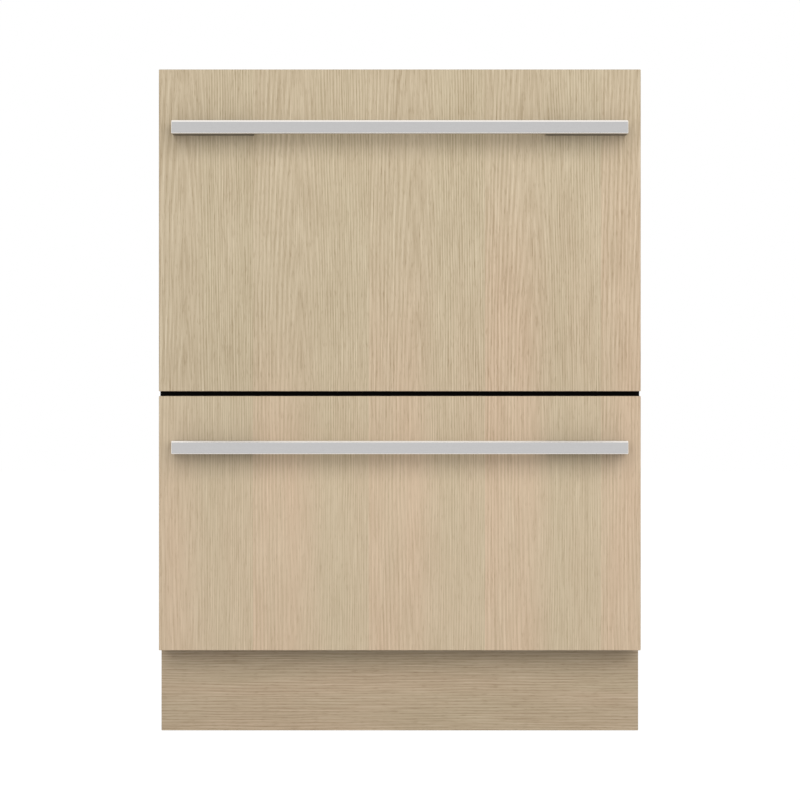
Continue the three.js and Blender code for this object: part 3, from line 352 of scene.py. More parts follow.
# %% Oak: where a point lies in the log
# Cells of noise in a metre, across and along the grain.
SLOW_SWAY_CELLS, QUICK_SWAY_CELLS = (14.0, 3.2), (60.0, 18.0)
QUICK_SWAY_SEED = 9.0


def swaying(tree, across, along):
    """A small shift across the grain: a slow wave plus a quick one."""
    slow = grain(tree, across, along, SLOW_SWAY_CELLS, 0.0, 2.0)
    quick = grain(tree, across, along, QUICK_SWAY_CELLS, QUICK_SWAY_SEED)
    sway = calc(tree, "MULTIPLY", calc(tree, "SUBTRACT", slow, 0.5), SWAY)
    return calc(tree, "MULTIPLY_ADD", calc(tree, "SUBTRACT", quick, 0.5), QUICK_SWAY, sway)


def leaf_count(tree, across):
    """The leaf's number, and the share of the way across it."""
    counted = calc(tree, "DIVIDE", calc(tree, "SUBTRACT", across, LEAF_START), LEAF_WIDTH)
    return calc(tree, "FLOOR", counted), calc(tree, "FRACT", counted)


def flame(tree, share, along, sway):
    """The depth in the log, sqrt(x^2 + d^2) + lean x, and how loud the rings are there."""
    middle = calc(tree, "MULTIPLY", calc(tree, "SUBTRACT", share, FLAME_PLACE), LEAF_WIDTH)
    offset = calc(tree, "ADD", middle, sway)
    height = calc(tree, "SUBTRACT", along, FLAME_HEIGHT)
    depth = calc(tree, "MULTIPLY_ADD", height, FLAME_SLOPE, FLAME_DEPTH)
    squares = calc(tree, "ADD", calc(tree, "POWER", offset, 2.0), calc(tree, "POWER", depth, 2.0))
    loud = remap(tree, calc(tree, "ABSOLUTE", offset), *QUIET_WITHIN, QUIET_SHARE, 1.0, smooth=True)
    return calc(tree, "MULTIPLY_ADD", offset, FLAME_LEAN, calc(tree, "SQRT", squares)), loud


print("a front shows", round(float(front_width) / LEAF_WIDTH, 1), "leaves")

# %% [markdown]
# What the eye reads as grain is four things on top of each other: growth rings at an even
# spacing, thin light and dark lines along them, fine fibres, and short dark pores. Each is a
# number about zero, and their sum picks the colour.

# %% Oak: rings, lines, fibres and pores
WOBBLE_CELLS, FIBRE_CELLS, PORE_CELLS = (60.0, 3.0), (760.0, 16.0), (900.0, 80.0)
LINE_CELLS_ALONG, DARK_LINE_SEED = 4.0, 31.0
PORE_BETWEEN = (0.56, 0.72)


def thin_lines(tree, across, along, seed):
    """Long thin lines where a smooth noise n crosses 0.5: 1 - |n - 0.5| / LINE_WIDTH, from 0 up."""
    smooth = noise(tree, vector(tree, across, along, seed), 1.0, 0.0)
    gap = calc(tree, "ABSOLUTE", calc(tree, "SUBTRACT", smooth, 0.5))
    return calc(tree, "SUBTRACT", 1.0, calc(tree, "DIVIDE", gap, LINE_WIDTH), clamp=True)


def rings_and_lines(tree, depth, along, seed, loud):
    """sin(2 pi turns), where turns = depth / spacing + a slow wobble, and thin lines at both shades."""
    wobble = grain(tree, depth, along, WOBBLE_CELLS, seed)
    turns = calc(tree, "MULTIPLY_ADD", wobble, RING_WOBBLE, calc(tree, "DIVIDE", depth, RING_SPACING))
    rings = calc(tree, "SINE", calc(tree, "MULTIPLY", turns, 2 * math.pi))
    line = calc(tree, "DIVIDE", depth, LINE_SPACING)
    slow_along = calc(tree, "MULTIPLY", along, LINE_CELLS_ALONG)
    light = thin_lines(tree, line, slow_along, seed)
    dark = thin_lines(tree, line, slow_along, calc(tree, "ADD", seed, DARK_LINE_SEED))
    lines = calc(tree, "MULTIPLY", calc(tree, "SUBTRACT", light, dark), CONTRAST["line"])
    lines = calc(tree, "MULTIPLY_ADD", rings, CONTRAST["ring"], lines)
    return calc(tree, "MULTIPLY", lines, loud)


def fibres_and_pores(tree, across, along, seed):
    """Fine fibres, and short pores where a finer noise is high."""
    fibres = grain(tree, across, along, FIBRE_CELLS, seed, 1.0, 0.8)
    pores = remap(tree, grain(tree, across, along, PORE_CELLS, seed, 1.0), *PORE_BETWEEN)
    return fibres, pores


def summed(tree, lines, fibres, broad, pores):
    """lines + fibre (fibres - 0.5) + broad (broad - 0.5) - pore pores."""
    lines = calc(tree, "MULTIPLY_ADD", calc(tree, "SUBTRACT", fibres, 0.5), CONTRAST["fibre"], lines)
    lines = calc(tree, "MULTIPLY_ADD", calc(tree, "SUBTRACT", broad, 0.5), CONTRAST["broad"], lines)
    return calc(tree, "SUBTRACT", lines, calc(tree, "MULTIPLY", pores, CONTRAST["pore"]))


print("a leaf shows about", round(LEAF_WIDTH / RING_SPACING), "rings")

# %% [markdown]
# Towards the foot of the log the figure is fainter, the left of each leaf turns pinker and its right
# greyer. The wood there is also lifted paler, which paints extra light on the lower front. The
# kick and the edges are cut from plain wood and have no leaves.

# %% Oak: colours
CLOUD_CELLS = (26.0, 3.0)
PINK_CLOUD, GREY_CLOUD = (0.3, 0.65, 0.5, 1.0), (0.65, 0.35, 0.3, 1.0)
PINK_PART, GREY_PART = (0.3, 0.6), (0.45, 0.65)


# The paler lift below paints extra light on the lower front.
def fainter_with_painted_light_below(tree, lines, along):
    """lines * strong + PAINTED_LIGHT_LIFT (1 - strong), where strong falls from 1 with the height."""
    strong = remap(tree, along, *FAINT_BETWEEN, FAINT_SHARE, 1.0)
    pale = calc(tree, "MULTIPLY", calc(tree, "SUBTRACT", 1.0, strong), PAINTED_LIGHT_LIFT)
    return calc(tree, "MULTIPLY_ADD", lines, strong, pale)


def oak_ramp(tree, lines, shade):
    """Dark, middle or light oak, from the sum of the lines about zero."""
    ramp = add(tree, "ShaderNodeValToRGB", {0: calc(tree, "ADD", lines, 0.5)})
    ramp.color_ramp.elements[0].position = 0.0
    ramp.color_ramp.elements[0].color = srgb(OAK_DARK, shade)
    ramp.color_ramp.elements[1].position = 1.0
    ramp.color_ramp.elements[1].color = srgb(OAK_LIGHT, shade)
    ramp.color_ramp.elements.new(0.5).color = srgb(OAK_MIDDLE, shade)
    return ramp.outputs[0]


def tinted(tree, colour, tint, share):
    """The colour turned towards a tint of the middle oak colour, by a share."""
    ratio = [new / old for new, old in zip(srgb(tint), srgb(OAK_MIDDLE))]
    return blend_colours(tree, share, colour, blend_colours(tree, 1.0, colour, (*ratio[:3], 1), "MULTIPLY"))


def pink_and_grey(tree, across, along, seed):
    """Soft clouds along the grain: where one is high the wood is pink, and where it is low, grey."""
    cloud = grain(tree, across, along, CLOUD_CELLS, seed, 2.0)
    return remap(tree, cloud, *PINK_CLOUD), remap(tree, cloud, *GREY_CLOUD)


def on_the_leaf(tree, pink, grey, leaf, share, along):
    """Pink kept to the foot and mostly the left of a leaf, grey to its right."""
    starts = calc(tree, "MULTIPLY_ADD", leaf, PINK_RISE, PINK_FROM)
    below = remap(tree, calc(tree, "SUBTRACT", starts, along), *PINK_FADE, smooth=True)
    left = remap(tree, share, *PINK_PART, 1.0, LEAST_PINK, smooth=True)
    right = remap(tree, share, *GREY_PART, smooth=True)
    pink = calc(tree, "MULTIPLY", calc(tree, "MULTIPLY", left, below), pink)
    return pink, calc(tree, "MULTIPLY", right, grey)


print("the pink tint multiplies the oak by", [round(a / b, 2) for a, b in zip(OAK_PINK, OAK_MIDDLE)])

# %% Oak finish
LEAF_SEED_STEP = 3.7
BROAD_CELLS = (30.0, 10.0)
FIBRE_BETWEEN, OAK_ROUGHNESS, OAK_SPECULAR = (0.2, 0.8), (0.62, 0.5), 0.3
OAK_BUMP, OAK_BUMP_HEIGHT = 0.25, 0.1 * MM


def oak(name, across_axis, along_axis, shade=1.0, leaves=True):
    """Oak veneer with its grain along one axis. leaves adds the flames and the leaves' own tints."""
    material, tree, shader = new_finish(name)
    point = place(tree)
    across, along = point[across_axis], point[along_axis]
    sway = swaying(tree, across, along)
    swayed = calc(tree, "ADD", across, sway)
    leaf, depth, loud = 0.0, swayed, 1.0
    if leaves:
        leaf, share = leaf_count(tree, across)
        depth, loud = flame(tree, share, along, sway)
    seed = calc(tree, "MULTIPLY", leaf, LEAF_SEED_STEP)
    fibres, pores = fibres_and_pores(tree, swayed, along, seed)
    lines = rings_and_lines(tree, depth, along, seed, loud)
    lines = summed(tree, lines, fibres, grain(tree, swayed, along, BROAD_CELLS, seed), pores)
    pink, grey = pink_and_grey(tree, across, along, seed)
    most_pink = most_grey = PLAIN_SHARE
    if leaves:
        lines = fainter_with_painted_light_below(tree, lines, along)
        pink, grey = on_the_leaf(tree, pink, grey, leaf, share, along)
        most_pink, most_grey = PINK_SHARE, GREY_SHARE
    colour = oak_ramp(tree, lines, shade)
    colour = tinted(tree, colour, OAK_PINK, calc(tree, "MULTIPLY", pink, most_pink))
    colour = tinted(tree, colour, OAK_GREY, calc(tree, "MULTIPLY", grey, most_grey))
    tree.links.new(colour, shader.inputs["Base Color"])
    tree.links.new(remap(tree, fibres, *FIBRE_BETWEEN, *OAK_ROUGHNESS), shader.inputs["Roughness"])
    shader.inputs["Specular IOR Level"].default_value = OAK_SPECULAR
    height = calc(tree, "SUBTRACT", calc(tree, "MULTIPLY", fibres, 0.5), pores)
    bumped(tree, shader, height, OAK_BUMP, OAK_BUMP_HEIGHT)
    return material


OAK_FRONT = oak("oak_front", "X", "Z")
OAK_UPRIGHT_EDGE = oak("oak_upright_edge", "Y", "Z", leaves=False)
OAK_LEVEL_EDGE = oak("oak_level_edge", "Y", "X", leaves=False)
# The kick's oak is darkened: painted shade.
OAK_KICK_PAINTED_SHADE = oak("oak_kick", "Z", "X", KICK_PAINTED_SHADE, leaves=False)
print("oak front has", len(OAK_FRONT.node_tree.nodes), "nodes")

# %% [markdown]
# ## Metals and plastics
#
# Brushed metal has fine scratches in one direction. Galvanised sheet has large flat crystals.
# Mouldings have an even, very fine grain. A plain colour and roughness would do from afar, but
# close by it looks like paint, so each finish varies a little, by noise that is stretched or
# scaled as the real surface is. Each is a function, because several pieces share it.

# %% Brushed metal
SCRATCH_ALONG, SCRATCH_ACROSS, SPECKS = 40.0, 2600.0, 900.0
MOST_NOISE = (0.3, 0.7)  # nearly all of a noise lies between these
SCRATCH_BUMP, SCRATCH_DEPTH = 0.12, 0.05 * MM


def connect(tree, shader, **sockets):
    """Links outputs to the shader's sockets. An underscore stands for a space."""
    for name, output in sockets.items():
        tree.links.new(output, shader.inputs[name.replace("_", " ")])


def brushed_metal(name, colour, along_axis, roughness=0.36, contrast=0.05):
    """Metal with scratches along one axis."""
    material, tree, shader = new_finish(name)
    point = place(tree)
    stretch = {axis: SCRATCH_ALONG if axis == along_axis else SCRATCH_ACROSS for axis in "XYZ"}
    scaled = vector(tree, *(calc(tree, "MULTIPLY", point[axis], stretch[axis]) for axis in "XYZ"))
    scratches = noise(tree, scaled, 1.0, 2.0, 0.6)
    specks = noise(tree, whole_place(tree), SPECKS, 1.0)
    mixed = calc(tree, "MULTIPLY_ADD", specks, 0.5, calc(tree, "MULTIPLY", scratches, 0.5))
    low, high = srgb(colour, 1 - contrast), srgb(colour, 1 + contrast)
    connect(tree, shader, Base_Color=blend_colours(tree, remap(tree, mixed, *MOST_NOISE), low, high),
            Roughness=remap(tree, mixed, *MOST_NOISE, roughness - 0.05, roughness + 0.06))
    shader.inputs["Metallic"].default_value = 1.0
    bumped(tree, shader, scratches, SCRATCH_BUMP, SCRATCH_DEPTH)
    return material


HANDLE_ALUMINIUM = brushed_metal("handle_aluminium", (198, 197, 197), "X", 0.4)
# Lighter colour for the chamfer faces: a painted highlight.
PAINTED_HIGHLIGHT_EDGE = brushed_metal("edge_painted_highlight", (247, 243, 237), "X", 0.22, 0.02)
# Darker colour for the handle feet: painted shade under the handle's ends.
FOOT_PAINTED_SHADE_ALUMINIUM = brushed_metal("foot_painted_shade_aluminium", (112, 109, 106), "X", 0.4)
SLIDE_STEEL = brushed_metal("slide_steel", (176, 179, 181), "Y", 0.3, 0.08)
print("brushed metals: handles, their edges and feet, slides")

# %% Galvanised sheet
CRYSTALS, SMUDGES = 85.0, 9.0
CRYSTAL_SHARE, SMUDGE_SHARE = 0.6, 0.4
ZINC_METALLIC = 0.85


def galvanised_sheet(name, colour):
    """Zinc-coated sheet: flat crystals, each a little lighter or darker than the next."""
    material, tree, shader = new_finish(name)
    point = whole_place(tree)
    crystals = add(tree, "ShaderNodeTexVoronoi", {"Vector": point, "Scale": CRYSTALS}).outputs["Color"]
    grey = add(tree, "ShaderNodeRGBToBW", {0: crystals}).outputs[0]
    smudge = noise(tree, point, SMUDGES, 3.0)
    shade = calc(tree, "MULTIPLY_ADD", smudge, SMUDGE_SHARE, calc(tree, "MULTIPLY", grey, CRYSTAL_SHARE))
    connect(tree, shader, Base_Color=blend_colours(tree, shade, srgb(colour, 0.88), srgb(colour, 1.1)),
            Roughness=remap(tree, shade, 0.1, 0.9, 0.5, 0.36))
    shader.inputs["Metallic"].default_value = ZINC_METALLIC
    return material


GALVANISED = galvanised_sheet("galvanised_sheet", (176, 180, 183))
print("crystals about", round(1000 / CRYSTALS), "mm wide")

# %% Plastics and rubber
CLOUDS = 14.0
TRIM_SPECULAR = 0.1


def moulded_plastic(name, colour, roughness=0.42, fineness=1500.0, depth=0.04):
    """Plastic with the fine even grain of its mould, and a faint unevenness in its shade."""
    material, tree, shader = new_finish(name)
    point = whole_place(tree)
    spark = noise(tree, point, fineness, 1.0)
    cloud = noise(tree, point, CLOUDS, 3.0)
    connect(tree, shader, Base_Color=blend_colours(tree, cloud, srgb(colour, 0.95), srgb(colour, 1.05)),
            Roughness=remap(tree, spark, *MOST_NOISE, roughness - 0.05, roughness + 0.05))
    bumped(tree, shader, spark, 0.3, depth * MM)
    return material


BLACK_TRIM = moulded_plastic("black_trim", (7, 6, 6), 0.7)
BLACK_TRIM.node_tree.nodes["Principled BSDF"].inputs["Specular IOR Level"].default_value = TRIM_SPECULAR
FRAME_PLASTIC = moulded_plastic("frame_plastic", (58, 60, 62), 0.5)
STRIP_GLOSS = moulded_plastic("strip_gloss", (14, 15, 18), 0.1, depth=0.0)
BUTTON_SILVER = moulded_plastic("button_silver", (196, 199, 202), 0.28)
TUB_PLASTIC = moulded_plastic("tub_plastic", (200, 204, 206), 0.4)
WHITE_MOULDING = moulded_plastic("white_moulding", (222, 224, 224), 0.38)
RACK_COATING = moulded_plastic("rack_coating", (150, 155, 160), 0.35, depth=0.02)
WASH_PLASTIC = moulded_plastic("wash_plastic", (112, 129, 144), 0.4)
SEAL_RUBBER = moulded_plastic("seal_rubber", (72, 75, 77), 0.65)
BLACK_PLASTIC = moulded_plastic("black_plastic", (34, 36, 38), 0.5)
LAMP_GREY = moulded_plastic("lamp_grey", (150, 156, 160), 0.2, depth=0.0)
print("finishes", len(bpy.data.materials))

# %% Perforated steel
HOLE_GREY = (24, 26, 28)
HOLE_EDGE = (0.3, 0.45)
STEEL_ROUGHNESS = 0.35


def perforated_steel(name, colour, pitch=1.6 * MM):
    """Steel with rows of small holes, dark where sin(x) sin(y) is high."""
    material, tree, shader = new_finish(name)
    point = place(tree)
    waves = [calc(tree, "SINE", calc(tree, "MULTIPLY", point[axis], 2 * math.pi / pitch)) for axis in "XY"]
    holes = remap(tree, calc(tree, "MULTIPLY", *waves), *HOLE_EDGE)
    steel = calc(tree, "SUBTRACT", 1.0, holes)
    colours = blend_colours(tree, holes, srgb(colour), srgb(HOLE_GREY))
    connect(tree, shader, Base_Color=colours, Metallic=steel)
    shader.inputs["Roughness"].default_value = STEEL_ROUGHNESS
    bumped(tree, shader, steel, 0.5, 0.2 * MM)
    return material


PERFORATED_STEEL = perforated_steel("filter_steel", (178, 181, 184))
print("finishes", len(bpy.data.materials))

# %% [markdown]
# ## Tools for shapes
#
# Nearly every piece here is one of three surfaces: rings stacked up and skinned, a profile turned
# about an axis, or a profile carried along a path. They could be modelled by hand from Blender's
# own cylinders and curves. Here each is a grid of points worked out at once with numpy, so its
# sizes are numbers that can be checked, and the same function turns every grid into faces.

# %% Grids of faces
def grid_faces(rows, columns, close_rows=False, close_columns=True, start=0):
    """Quads between neighbouring points of a grid. A closed direction joins its end to its start."""
    i = np.arange(rows if close_rows else rows - 1)[:, None]
    j = np.arange(columns if close_columns else columns - 1)[None, :]
    i_next, j_next = (i + 1) % rows, (j + 1) % columns
    corners = [i * columns + j, i * columns + j_next, i_next * columns + j_next, i_next * columns + j]
    return start + np.stack(corners, axis=-1).reshape(-1, 4)


def skin(rings, close_rows=False, caps=True):
    """(points, faces) of a surface through rings of equal length, with flat caps at its ends."""
    rings = np.asarray(rings, float)
    rows, columns = rings.shape[:2]
    faces = grid_faces(rows, columns, close_rows).tolist()
    if caps and not close_rows:
        faces.append(list(range(columns))[::-1])
        faces.append(list(range((rows - 1) * columns, rows * columns)))
    return rings.reshape(-1, 3), faces


def gathered(parts):
    """Several (points, faces) as one."""
    points, faces, start = [], [], 0
    for part_points, part_faces in parts:
        points.append(part_points)
        faces += [[start + i for i in face] for face in part_faces]
        start += len(part_points)
    return np.concatenate(points), faces


print("a grid of 3 by 4 points has", len(grid_faces(3, 4)), "faces round it")

# %% [markdown]
# A finished piece has its faces turned outwards and its doubles merged. Its sharp edges are
# marked, so that round parts look smooth and flat parts stay flat. It is told which body it moves
# with, and which CAD solids it stands for. Where a CAD solid already has the right form, a copy of
# it gets a small bevel. Real edges are never quite sharp, and the bevel catches the light.

# %% Finished pieces
SHARP_ANGLE = math.radians(32)


def piece(name, shape, material, body, replaces=()):
    """A finished piece: outward faces, smooth where it is round, riding on its body."""
    made = link_mesh(name, *shape)
    mesh = bmesh.new()
    mesh.from_mesh(made.data)
    bmesh.ops.remove_doubles(mesh, verts=mesh.verts, dist=1e-6)
    bmesh.ops.recalc_face_normals(mesh, faces=mesh.faces)
    mesh.to_mesh(made.data)
    mesh.free()
    finish_piece(made, material, body, replaces)
    return made


def finish_piece(made, material, body, replaces=()):
    """Material, smoothness, body, and the CAD nodes that it stands for."""
    made.data.materials.clear()
    made.data.materials.append(material)
    made.data.polygons.foreach_set("use_smooth", [True] * len(made.data.polygons))
    made.data.set_sharp_from_angle(angle=SHARP_ANGLE)
    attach(made, body)
    if replaces:
        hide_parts(*replaces)


def soften(made, width, segments):
    """A live bevel on the sharp edges."""
    bevel = made.modifiers.new("soft edges", "BEVEL")
    bevel.width, bevel.segments = width, segments
    bevel.limit_method, bevel.angle_limit = "ANGLE", SHARP_ANGLE


def softened(name, node, width, material, body, segments=2):
    """A CAD node again, as one skin with its sharp edges rounded off."""
    made = bpy.data.objects.new(name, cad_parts[node].data.copy())
    bpy.context.collection.objects.link(made)
    mesh = bmesh.new()
    mesh.from_mesh(made.data)
    bmesh.ops.remove_doubles(mesh, verts=mesh.verts, dist=1e-6)
    bmesh.ops.dissolve_limit(mesh, angle_limit=math.radians(1), verts=mesh.verts, edges=mesh.edges)
    mesh.to_mesh(made.data)
    mesh.free()
    finish_piece(made, material, body, [node])
    soften(made, width, segments)
    return made


print("edges sharper than", round(math.degrees(SHARP_ANGLE)), "degrees stay sharp")

# %% Rounded outlines, stacks and boxes
def rounded_outline(half_x, half_y, radius, steps=8):
    """Points of a rounded rectangle, anticlockwise: in each corner, centre + radius (cos a, sin a)."""
    angle = (np.arange(4)[:, None] + np.linspace(0, 1, steps + 1)[None, :]) * math.pi / 2
    sign_x = np.array([1, -1, -1, 1])[:, None]
    sign_y = np.array([1, 1, -1, -1])[:, None]
    x = sign_x * (half_x - radius) + radius * np.cos(angle)
    y = sign_y * (half_y - radius) + radius * np.sin(angle)
    return np.stack([x.ravel(), y.ravel()], axis=-1)


def stack(sections, centre=(0, 0, 0), steps=8, caps=True):
    """Rounded rectangles [half_x, half_y, radius, z] stacked up and skinned."""
    rings = [
        np.column_stack([rounded_outline(hx, hy, r, steps), np.full(4 * (steps + 1), z)])
        for hx, hy, r, z in sections
    ]
    return skin(np.array(rings) + np.asarray(centre, float), caps=caps)


def rounded_box(low, high, radius, steps=3):
    """A box with round edges: each point is a corner of the inner box plus radius times a direction."""
    low, high = np.asarray(low, float), np.asarray(high, float)
    turn = (np.arange(4)[:, None] + np.linspace(0, 1, steps + 1)[None, :]).ravel() * math.pi / 2
    tilt = np.concatenate([np.linspace(-1, 0, steps + 1), np.linspace(0, 1, steps + 1)]) * math.pi / 2
    half = (high - low) / 2 - radius
    sign_x = np.repeat([1, -1, -1, 1], steps + 1)
    sign_y = np.repeat([1, 1, -1, -1], steps + 1)
    sign_z = np.repeat([-1, 1], steps + 1)
    x = sign_x * half[0] + radius * np.cos(tilt)[:, None] * np.cos(turn)
    y = sign_y * half[1] + radius * np.cos(tilt)[:, None] * np.sin(turn)
    z = np.broadcast_to((sign_z * half[2] + radius * np.sin(tilt))[:, None], x.shape)
    return skin(np.stack([x, y, z], axis=-1) + (low + high) / 2)


print("a rounded box has", len(rounded_box((0, 0, 0), (1, 1, 1), 0.1)[1]), "faces")

# %% Turned shapes
def revolved(profile, centre, sides=48, axis="Z"):
    """A profile [radius, distance] turned about an axis through the centre."""
    profile = np.asarray(profile, float)
    angle = np.arange(sides) / sides * 2 * math.pi
    a = profile[:, 0, None] * np.cos(angle)
    b = profile[:, 0, None] * np.sin(angle)
    c = np.broadcast_to(profile[:, 1, None], a.shape)
    order = {"Z": (a, b, c), "Y": (b, c, a), "X": (c, a, b)}[axis]
    return skin(np.stack(order, axis=-1) + np.asarray(centre, float))


def fluted(profile, centre, count, sides=96, axis="Z"):
    """A turned profile [radius, distance, depth] whose radius also waves: r - depth (1 - cos n a) / 2."""
    profile = np.asarray(profile, float)
    angle = np.arange(sides) / sides * 2 * math.pi
    radius = profile[:, :1] - profile[:, 2:] * (1 - np.cos(count * angle)) / 2
    a, b = radius * np.cos(angle), radius * np.sin(angle)
    c = np.broadcast_to(profile[:, 1, None], a.shape)
    order = {"Z": (a, b, c), "Y": (b, c, a), "X": (c, a, b)}[axis]
    return skin(np.stack(order, axis=-1) + np.asarray(centre, float))


print("a turned cone has", len(revolved([(1, 0), (0.5, 1)], (0, 0, 0))[1]), "faces")

# %% Profiles along a path, and wires
def carried(profile, path, up, closed=False):
    """A profile carried along a flat path: point = path + u * side + v * up, where side is the path's
    direction turned a quarter about up."""
    path, profile = np.asarray(path, float), np.asarray(profile, float)
    up = np.asarray(up, float)
    if closed:
        ahead = np.roll(path, -1, axis=0) - np.roll(path, 1, axis=0)
    else:
        ahead = np.gradient(path, axis=0)
    ahead /= np.linalg.norm(ahead, axis=1, keepdims=True)
    side = np.cross(ahead, up)
    rings = path[:, None] + profile[None, :, :1] * side[:, None] + profile[None, :, 1:] * up
    return skin(rings, close_rows=closed)


def circle(radius, sides=10):
    """Points of a circle, for a wire's section."""
    angle = np.arange(sides) / sides * 2 * math.pi
    return radius * np.stack([np.cos(angle), np.sin(angle)], axis=-1)


def bent(corners, radius, steps=5):
    """A path through corner points, with each inner corner replaced by a smooth bend."""
    corners = np.asarray(corners, float)
    points = [corners[0]]
    for before, corner, after in zip(corners, corners[1:], corners[2:]):
        back = before - corner
        on = after - corner
        start = corner + back / np.linalg.norm(back) * radius
        end = corner + on / np.linalg.norm(on) * radius
        t = np.linspace(0, 1, steps + 1)[:, None]
        points += list((1 - t) ** 2 * start + 2 * t * (1 - t) * corner + t**2 * end)
    return np.array(points + [corners[-1]])


print("a bend has", len(bent([(0, 0, 0), (1, 0, 0), (1, 1, 0)], 0.2)), "points")

# %% [markdown]
# ## Oak fronts and toe kick
#
# Each front is an 18 mm board with veneer on its faces and a strip of veneer on every edge. The
# corners of the edges are just broken with sandpaper. A bevel on the CAD board would do, but its
# corners would share one finish. So the board is a box with a radius of 0.8 mm, built anew, and
# the faces that look along X or Z are the strips, and get the finish whose grain runs along
# them. The kick is cut with its grain lying down, as in the photograph.

# %% Fronts and kick
BOARD_RADIUS = 0.8 * MM


def face_normals(made):
    """The normal of each face, as rows."""
    normals = np.empty(len(made.data.polygons) * 3)
    made.data.polygons.foreach_get("normal", normals)
    return normals.reshape(-1, 3)


def more_finishes(made, index, *finishes):
    """Adds finishes to a piece. index says for each face which one it takes."""
    for finish in finishes:
        made.data.materials.append(finish)
    made.data.polygons.foreach_set("material_index", index)


def veneered(name, node, face, upright_edge, level_edge, body):
    """A board with one finish on its faces and another on each kind of edge."""
    made = piece(name, rounded_box(*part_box(node), BOARD_RADIUS), face, body, [node])
    normals = np.abs(face_normals(made))
    index = np.select([normals[:, 0] > 0.75, normals[:, 2] > 0.75], [1, 2], 0)
    more_finishes(made, index, upright_edge, level_edge)


for level in LEVELS:
    veneered(f"{level}_oak_front", f"{level}_door_panel", OAK_FRONT, OAK_UPRIGHT_EDGE, OAK_LEVEL_EDGE,
             f"{level}_drawer")
veneered("oak_toe_kick", "toe_kick", OAK_KICK_PAINTED_SHADE, OAK_UPRIGHT_EDGE, OAK_LEVEL_EDGE, "chassis")

# %% [markdown]
# ## Bar handles
#
# The handle is a brushed aluminium bar on two long solid feet. Its top front edge is cut off by
# 2 mm, and its tilted faces get a lighter colour, which paints the bright highlight along its top.
# The other edges are broken by half a millimetre. The feet get a darker colour, which paints the
# shade under the handle's ends. One bevel round the whole handle would make all its edges alike,
# so the bar is a section with eight corners carried along X, and its tilted faces get the lighter colour.

# %% Handles
BAR_DEPTH, FOOT_LENGTH = 12 * MM, 100 * MM
TOP_CHAMFER, CHAMFER = 2.0 * MM, 0.5 * MM
FOOT_INSET = 0.15 * MM


def bar_section(low, high, shrink):
    """The eight corners of the bar's section as rows (y, z), from its front edge upwards."""
    front, back = low[1] + shrink, low[1] + BAR_DEPTH - shrink
    bottom, top = low[2] + shrink, high[2] - shrink
    return np.array([
        (front, bottom + CHAMFER), (front, top - TOP_CHAMFER), (front + TOP_CHAMFER, top),
        (back - CHAMFER, top), (back, top - CHAMFER), (back, bottom + CHAMFER),
        (back - CHAMFER, bottom), (front + CHAMFER, bottom),
    ])


def handle_bar(low, high):
    """The section carried along X. Its end rings shrink by the chamfer."""
    ends = ((low[0], CHAMFER), (low[0] + CHAMFER, 0), (high[0] - CHAMFER, 0), (high[0], CHAMFER))
    sections = [(x, bar_section(low, high, shrink)) for x, shrink in ends]
    return skin([np.column_stack([np.full(len(section), x), section]) for x, section in sections])


def handle_feet(low, high):
    """Two blocks from the back of the bar to the oak, a hair smaller than the bar all round."""
    front = low[1] + BAR_DEPTH - 2 * FOOT_INSET
    blocks = []
    for x in (low[0] + FOOT_INSET, high[0] - FOOT_LENGTH):
        near = (x, front, low[2] + FOOT_INSET)
        far = (x + FOOT_LENGTH - FOOT_INSET, high[1], high[2] - FOOT_INSET)
        blocks.append(rounded_box(near, far, FOOT_INSET))
    return gathered(blocks)


for level in LEVELS:
    low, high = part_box(f"{level}_handle")
    made = piece(f"{level}_bar_handle", handle_bar(low, high), HANDLE_ALUMINIUM, f"{level}_drawer",
                 [f"{level}_handle"])
    # The chamfer faces take the lighter colour that paints the highlight.
    tilted = np.abs(face_normals(made)).max(axis=1) < 0.95
    more_finishes(made, tilted.astype(int), PAINTED_HIGHLIGHT_EDGE)
    # The feet's darker colour paints the shade under the handle's ends.
    piece(f"{level}_handle_feet", handle_feet(low, high), FOOT_PAINTED_SHADE_ALUMINIUM, f"{level}_drawer")
    print(level, "handle", [round(float(v) / MM, 1) for v in high - low], "mm")

# %% [markdown]
# ## Where a drawer's pieces go
#
# The two drawers are alike behind their fronts. Linked copies would save memory, but each piece
# has to have its own place in its mesh. So a piece is worked out once, in millimetres from the
# middle of the tub's rim, and then placed in both drawers.

# %% Places in a drawer
RIM_MIDDLE = {}
for level in LEVELS:
    low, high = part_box(f"{level}_tub")
    RIM_MIDDLE[level] = np.array([(low[0] + high[0]) / 2, (low[1] + high[1]) / 2, high[2]])


def placed(shape, origin):
    """A shape in millimetres, moved to an origin in metres."""
    points, faces = shape
    return np.asarray(points) * MM + origin, faces


def in_drawers(name, shape, material, body="drawer", replaces=()):
    """The same piece in both drawers."""
    for level in LEVELS:
        nodes = [f"{level}_{node}" for node in replaces]
        piece(f"{level}_{name}", placed(shape, RIM_MIDDLE[level]), material, f"{level}_{body}", nodes)


def bevelled(name, width, segments=1):
    """Rounds off the sharp edges of a piece that is built from bars."""
    for level in LEVELS:
        soften(bpy.data.objects[f"{level}_{name}"], width, segments)


def bar(x, y, z):
    """A straight bar between pairs of coordinates."""
    outline = ((x[0], y[0]), (x[1], y[0]), (x[1], y[1]), (x[0], y[1]))
    points = np.array([(*corner, height) for height in z for corner in outline])
    return points, [[3, 2, 1, 0], [4, 5, 6, 7], [0, 1, 5, 4], [1, 2, 6, 5], [2, 3, 7, 6], [3, 0, 4, 7]]


def about(centre, width):
    """A pair of coordinates either side of a centre."""
    return centre - width / 2, centre + width / 2


def turned_about_z(shape, degrees):
    """A shape turned about the vertical axis."""
    points, faces = shape
    angle = math.radians(degrees)
    cos, sin = math.cos(angle), math.sin(angle)
    return points @ np.array([[cos, -sin, 0], [sin, cos, 0], [0, 0, 1]]).T, faces


print("rims at z", {level: round(float(middle[2]) / MM, 1) for level, middle in RIM_MIDDLE.items()}, "mm")

